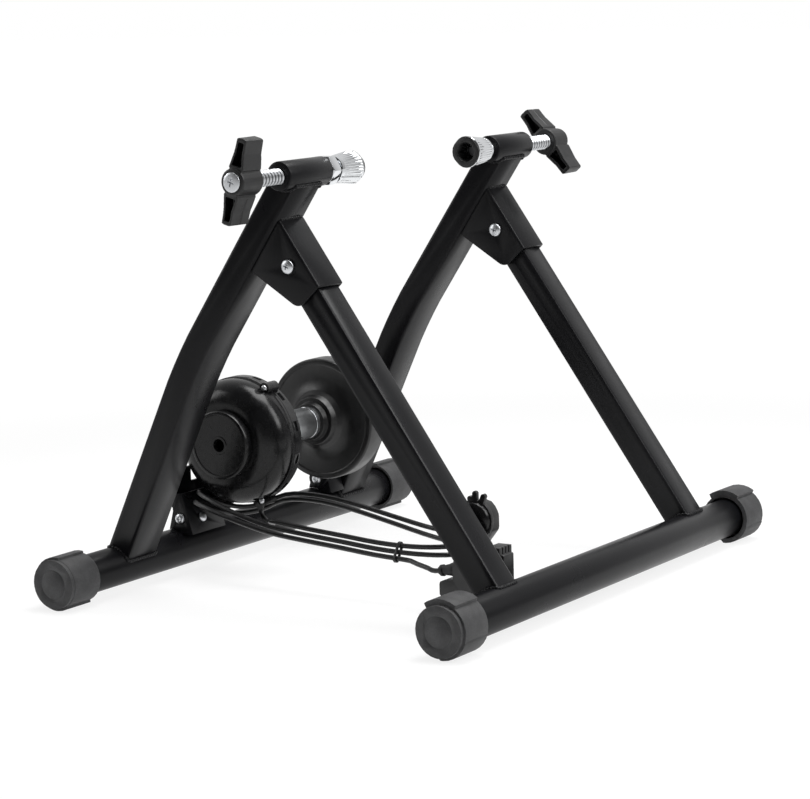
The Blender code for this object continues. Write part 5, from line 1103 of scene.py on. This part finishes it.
class TRAINER_OT_refined_nodes(bpy.types.Operator):
    """Round the edges of the pieces whose frame shape is right"""
    bl_idname = "trainer.refined_nodes"
    bl_label = "Refined Nodes"
    bl_options = {"REGISTER", "UNDO"}

    def execute(self, context):
        for node, item in frame["nodes"].items():
            if not item.hide_render:
                copy_of(node)
                # A bracket is folded from sheet, so its edges are rounder than cut ones
                round_edges((0.9 if node.startswith("fold_bracket") else 0.3) * MM)
                flatten_shading()
                settle(node + "_piece", node, finish_of(node))
        return {"FINISHED"}


WHITE = (1, 1, 1, 1)


class TRAINER_OT_stage(bpy.types.Operator):
    """Set the floor, the lights and the photograph's camera"""
    bl_idname = "trainer.stage"
    bl_label = "Stage"
    bl_options = {"REGISTER", "UNDO"}

    def execute(self, context):
        setting = context.scene.trainer_stage
        clear_selection()
        bpy.ops.mesh.primitive_plane_add(size=40, location=(0, 0, 0))
        floor = context.object
        floor.name = "floor"
        floor.data.materials.append(self.floor_material(setting))
        self.light_world(context, setting)
        lamps = (
            ("softbox_top", (0.3, -0.3, 2.2), (0, 0, 0), 1.4, 1.4, setting.softbox_power),
            ("softbox_right", (0.4, -2.0, 1.7), (0, 0, 0.2), 1.0, 1.6, setting.softbox_power * 0.8),
            ("softbox_left", (-1.2, 2.0, 1.2), (0, 0, 0.2), 0.8, 1.2, setting.softbox_power * 0.25),
        )
        for name, place, target, width, height, power in lamps:
            bpy.ops.object.light_add(type="AREA", location=place)
            lamp = context.object
            lamp.name = name
            lamp.data.shape = "RECTANGLE"
            lamp.data.size = width
            lamp.data.size_y = height
            lamp.data.energy = power
            aim = Vector(target) - Vector(place)
            lamp.rotation_euler = aim.to_track_quat("-Z", "Y").to_euler()
        self.place_camera(context, setting)
        context.scene.view_settings.view_transform = "Standard"
        return {"FINISHED"}

    def floor_material(self, setting):
        """Matt white paper sweep, seen as white by the camera, that keeps the trainer's shadow. Its colour
        fades away from the trainer: a painted pool of light, which reflections show.
        """
        material, tree, shader, place = new_material("studio_paper", setting.floor_colour, 0.9)
        away = add(tree, "ShaderNodeVectorMath", {0: place}, operation="LENGTH")["Value"]
        near = add(tree, "ShaderNodeMapRange", {"Value": away, "From Min": setting.pool_from,
                   "From Max": setting.pool_to, "To Min": 1, "To Max": 0},
                   interpolation_type="SMOOTHSTEP")["Result"]
        # Painted pool of light: the floor's colour is full near the trainer and a fifth of it far off
        lit = (*setting.floor_colour, 1)
        unlit = (*[c * 0.2 for c in setting.floor_colour], 1)
        floor_with_painted_light_pool = add(tree, "ShaderNodeMix", {"Factor": near, "A": unlit, "B": lit}, data_type="RGBA")["Result"]
        feed(tree, shader, {"Base Color": floor_with_painted_light_pool, "Specular IOR Level": 0.2})
        glow = add(tree, "ShaderNodeEmission", {"Color": WHITE, "Strength": 1.02})["Emission"]
        rays = add(tree, "ShaderNodeLightPath", {})
        mirrored = add(tree, "ShaderNodeMath", {0: rays["Is Glossy Ray"], 1: rays["Is Transmission Ray"]},
                       operation="MAXIMUM")["Value"]
        in_mirror = self.share_of(tree, mirrored, near, 0.7, 0.8)
        to_camera = self.share_of(tree, rays["Is Camera Ray"], near, 1.0, 0.8)
        share = add(tree, "ShaderNodeMath", {0: in_mirror, 1: to_camera}, operation="MAXIMUM")["Value"]
        seen = add(tree, "ShaderNodeMixShader", {0: share, 1: shader.outputs["BSDF"], 2: glow})["Shader"]
        feed(tree, tree.nodes["Material Output"], {"Surface": seen})
        return material

    def share_of(self, tree, rays, near, far_share, near_share):
        """How much of a kind of ray sees plain white, far from the trainer and near it."""
        share = add(tree, "ShaderNodeMapRange", {"Value": near, "To Min": far_share, "To Max": near_share})
        return add(tree, "ShaderNodeMath", {0: rays, 1: share["Result"]}, operation="MULTIPLY")["Value"]

    def light_world(self, context, setting):
        """A white cove behind the trainer and a dim room behind the camera, which sees white all round."""
        world = bpy.data.worlds.new("studio_room")
        context.scene.world = world
        world.use_nodes = True
        tree = world.node_tree
        towards = Vector((-math.sin(setting.azimuth), math.cos(setting.azimuth), 0.0))
        way = add(tree, "ShaderNodeTexCoord", {})["Generated"]
        ahead = add(tree, "ShaderNodeVectorMath", {0: way, 1: towards}, operation="DOT_PRODUCT")["Value"]
        cove = add(tree, "ShaderNodeMapRange", {"Value": ahead, "From Min": setting.cove_from,
                   "From Max": setting.cove_to, "To Min": setting.room_level, "To Max": setting.cove_level},
                   interpolation_type="SMOOTHSTEP")["Result"]
        room = add(tree, "ShaderNodeBackground", {"Color": WHITE, "Strength": cove})["Background"]
        blank = add(tree, "ShaderNodeBackground", {"Color": WHITE, "Strength": 1})["Background"]
        camera = add(tree, "ShaderNodeLightPath", {})["Is Camera Ray"]
        seen = add(tree, "ShaderNodeMixShader", {0: camera, 1: room, 2: blank})["Shader"]
        feed(tree, tree.nodes["World Output"], {"Surface": seen})

    def place_camera(self, context, setting):
        bpy.ops.object.camera_add(location=setting.camera_place)
        camera = context.object
        camera.name = "photo_camera"
        azimuth, elevation = setting.azimuth, setting.elevation
        back = Vector((math.sin(azimuth) * math.cos(elevation), -math.cos(azimuth) * math.cos(elevation),
                       math.sin(elevation)))
        turn = (-back).to_track_quat("-Z", "Y").to_matrix() @ Matrix.Rotation(setting.roll, 3, "Z")
        camera.rotation_euler = turn.to_euler()
        camera.data.sensor_width = 36
        camera.data.lens = setting.lens
        camera.data.clip_start = 0.05
        camera.data.clip_end = 60
        context.scene.camera = camera


class TRAINER_PT_panel(bpy.types.Panel):
    """Lists the trainer's pieces in the 3D view's sidebar"""
    bl_idname = "TRAINER_PT_panel"
    bl_label = "Bike Trainer"
    bl_space_type = "VIEW_3D"
    bl_region_type = "UI"
    bl_category = "Trainer"

    def draw(self, context):
        for operator in OPERATORS:
            self.layout.operator(operator.bl_idname)


GROUPS = {"trainer_colours": TrainerColours, "trainer_sizes": TrainerSizes, "trainer_stage": TrainerStage}
OPERATORS = (TRAINER_OT_cad_finishes, TRAINER_OT_control_cable, TRAINER_OT_tubes, TRAINER_OT_axle_cups,
             TRAINER_OT_spindles, TRAINER_OT_knobs, TRAINER_OT_screws, TRAINER_OT_magnet_housing,
             TRAINER_OT_roller, TRAINER_OT_flywheel, TRAINER_OT_floor_caps, TRAINER_OT_weld_beads,
             TRAINER_OT_refined_nodes, TRAINER_OT_stage)


def register():
    for group in GROUPS.values():
        bpy.utils.register_class(group)
    for operator in OPERATORS:
        bpy.utils.register_class(operator)
    bpy.utils.register_class(TRAINER_PT_panel)
    for name, group in GROUPS.items():
        setattr(bpy.types.Scene, name, PointerProperty(type=group))


def unregister():
    for name in GROUPS:
        delattr(bpy.types.Scene, name)
    bpy.utils.unregister_class(TRAINER_PT_panel)
    for operator in reversed(OPERATORS):
        bpy.utils.unregister_class(operator)
    for group in reversed(GROUPS.values()):
        bpy.utils.unregister_class(group)


def main():
    register()
    for operator in OPERATORS:
        module, name = operator.bl_idname.split(".")
        getattr(getattr(bpy.ops, module), name)()
    clear_selection()


if __name__ == "__main__":
    main()
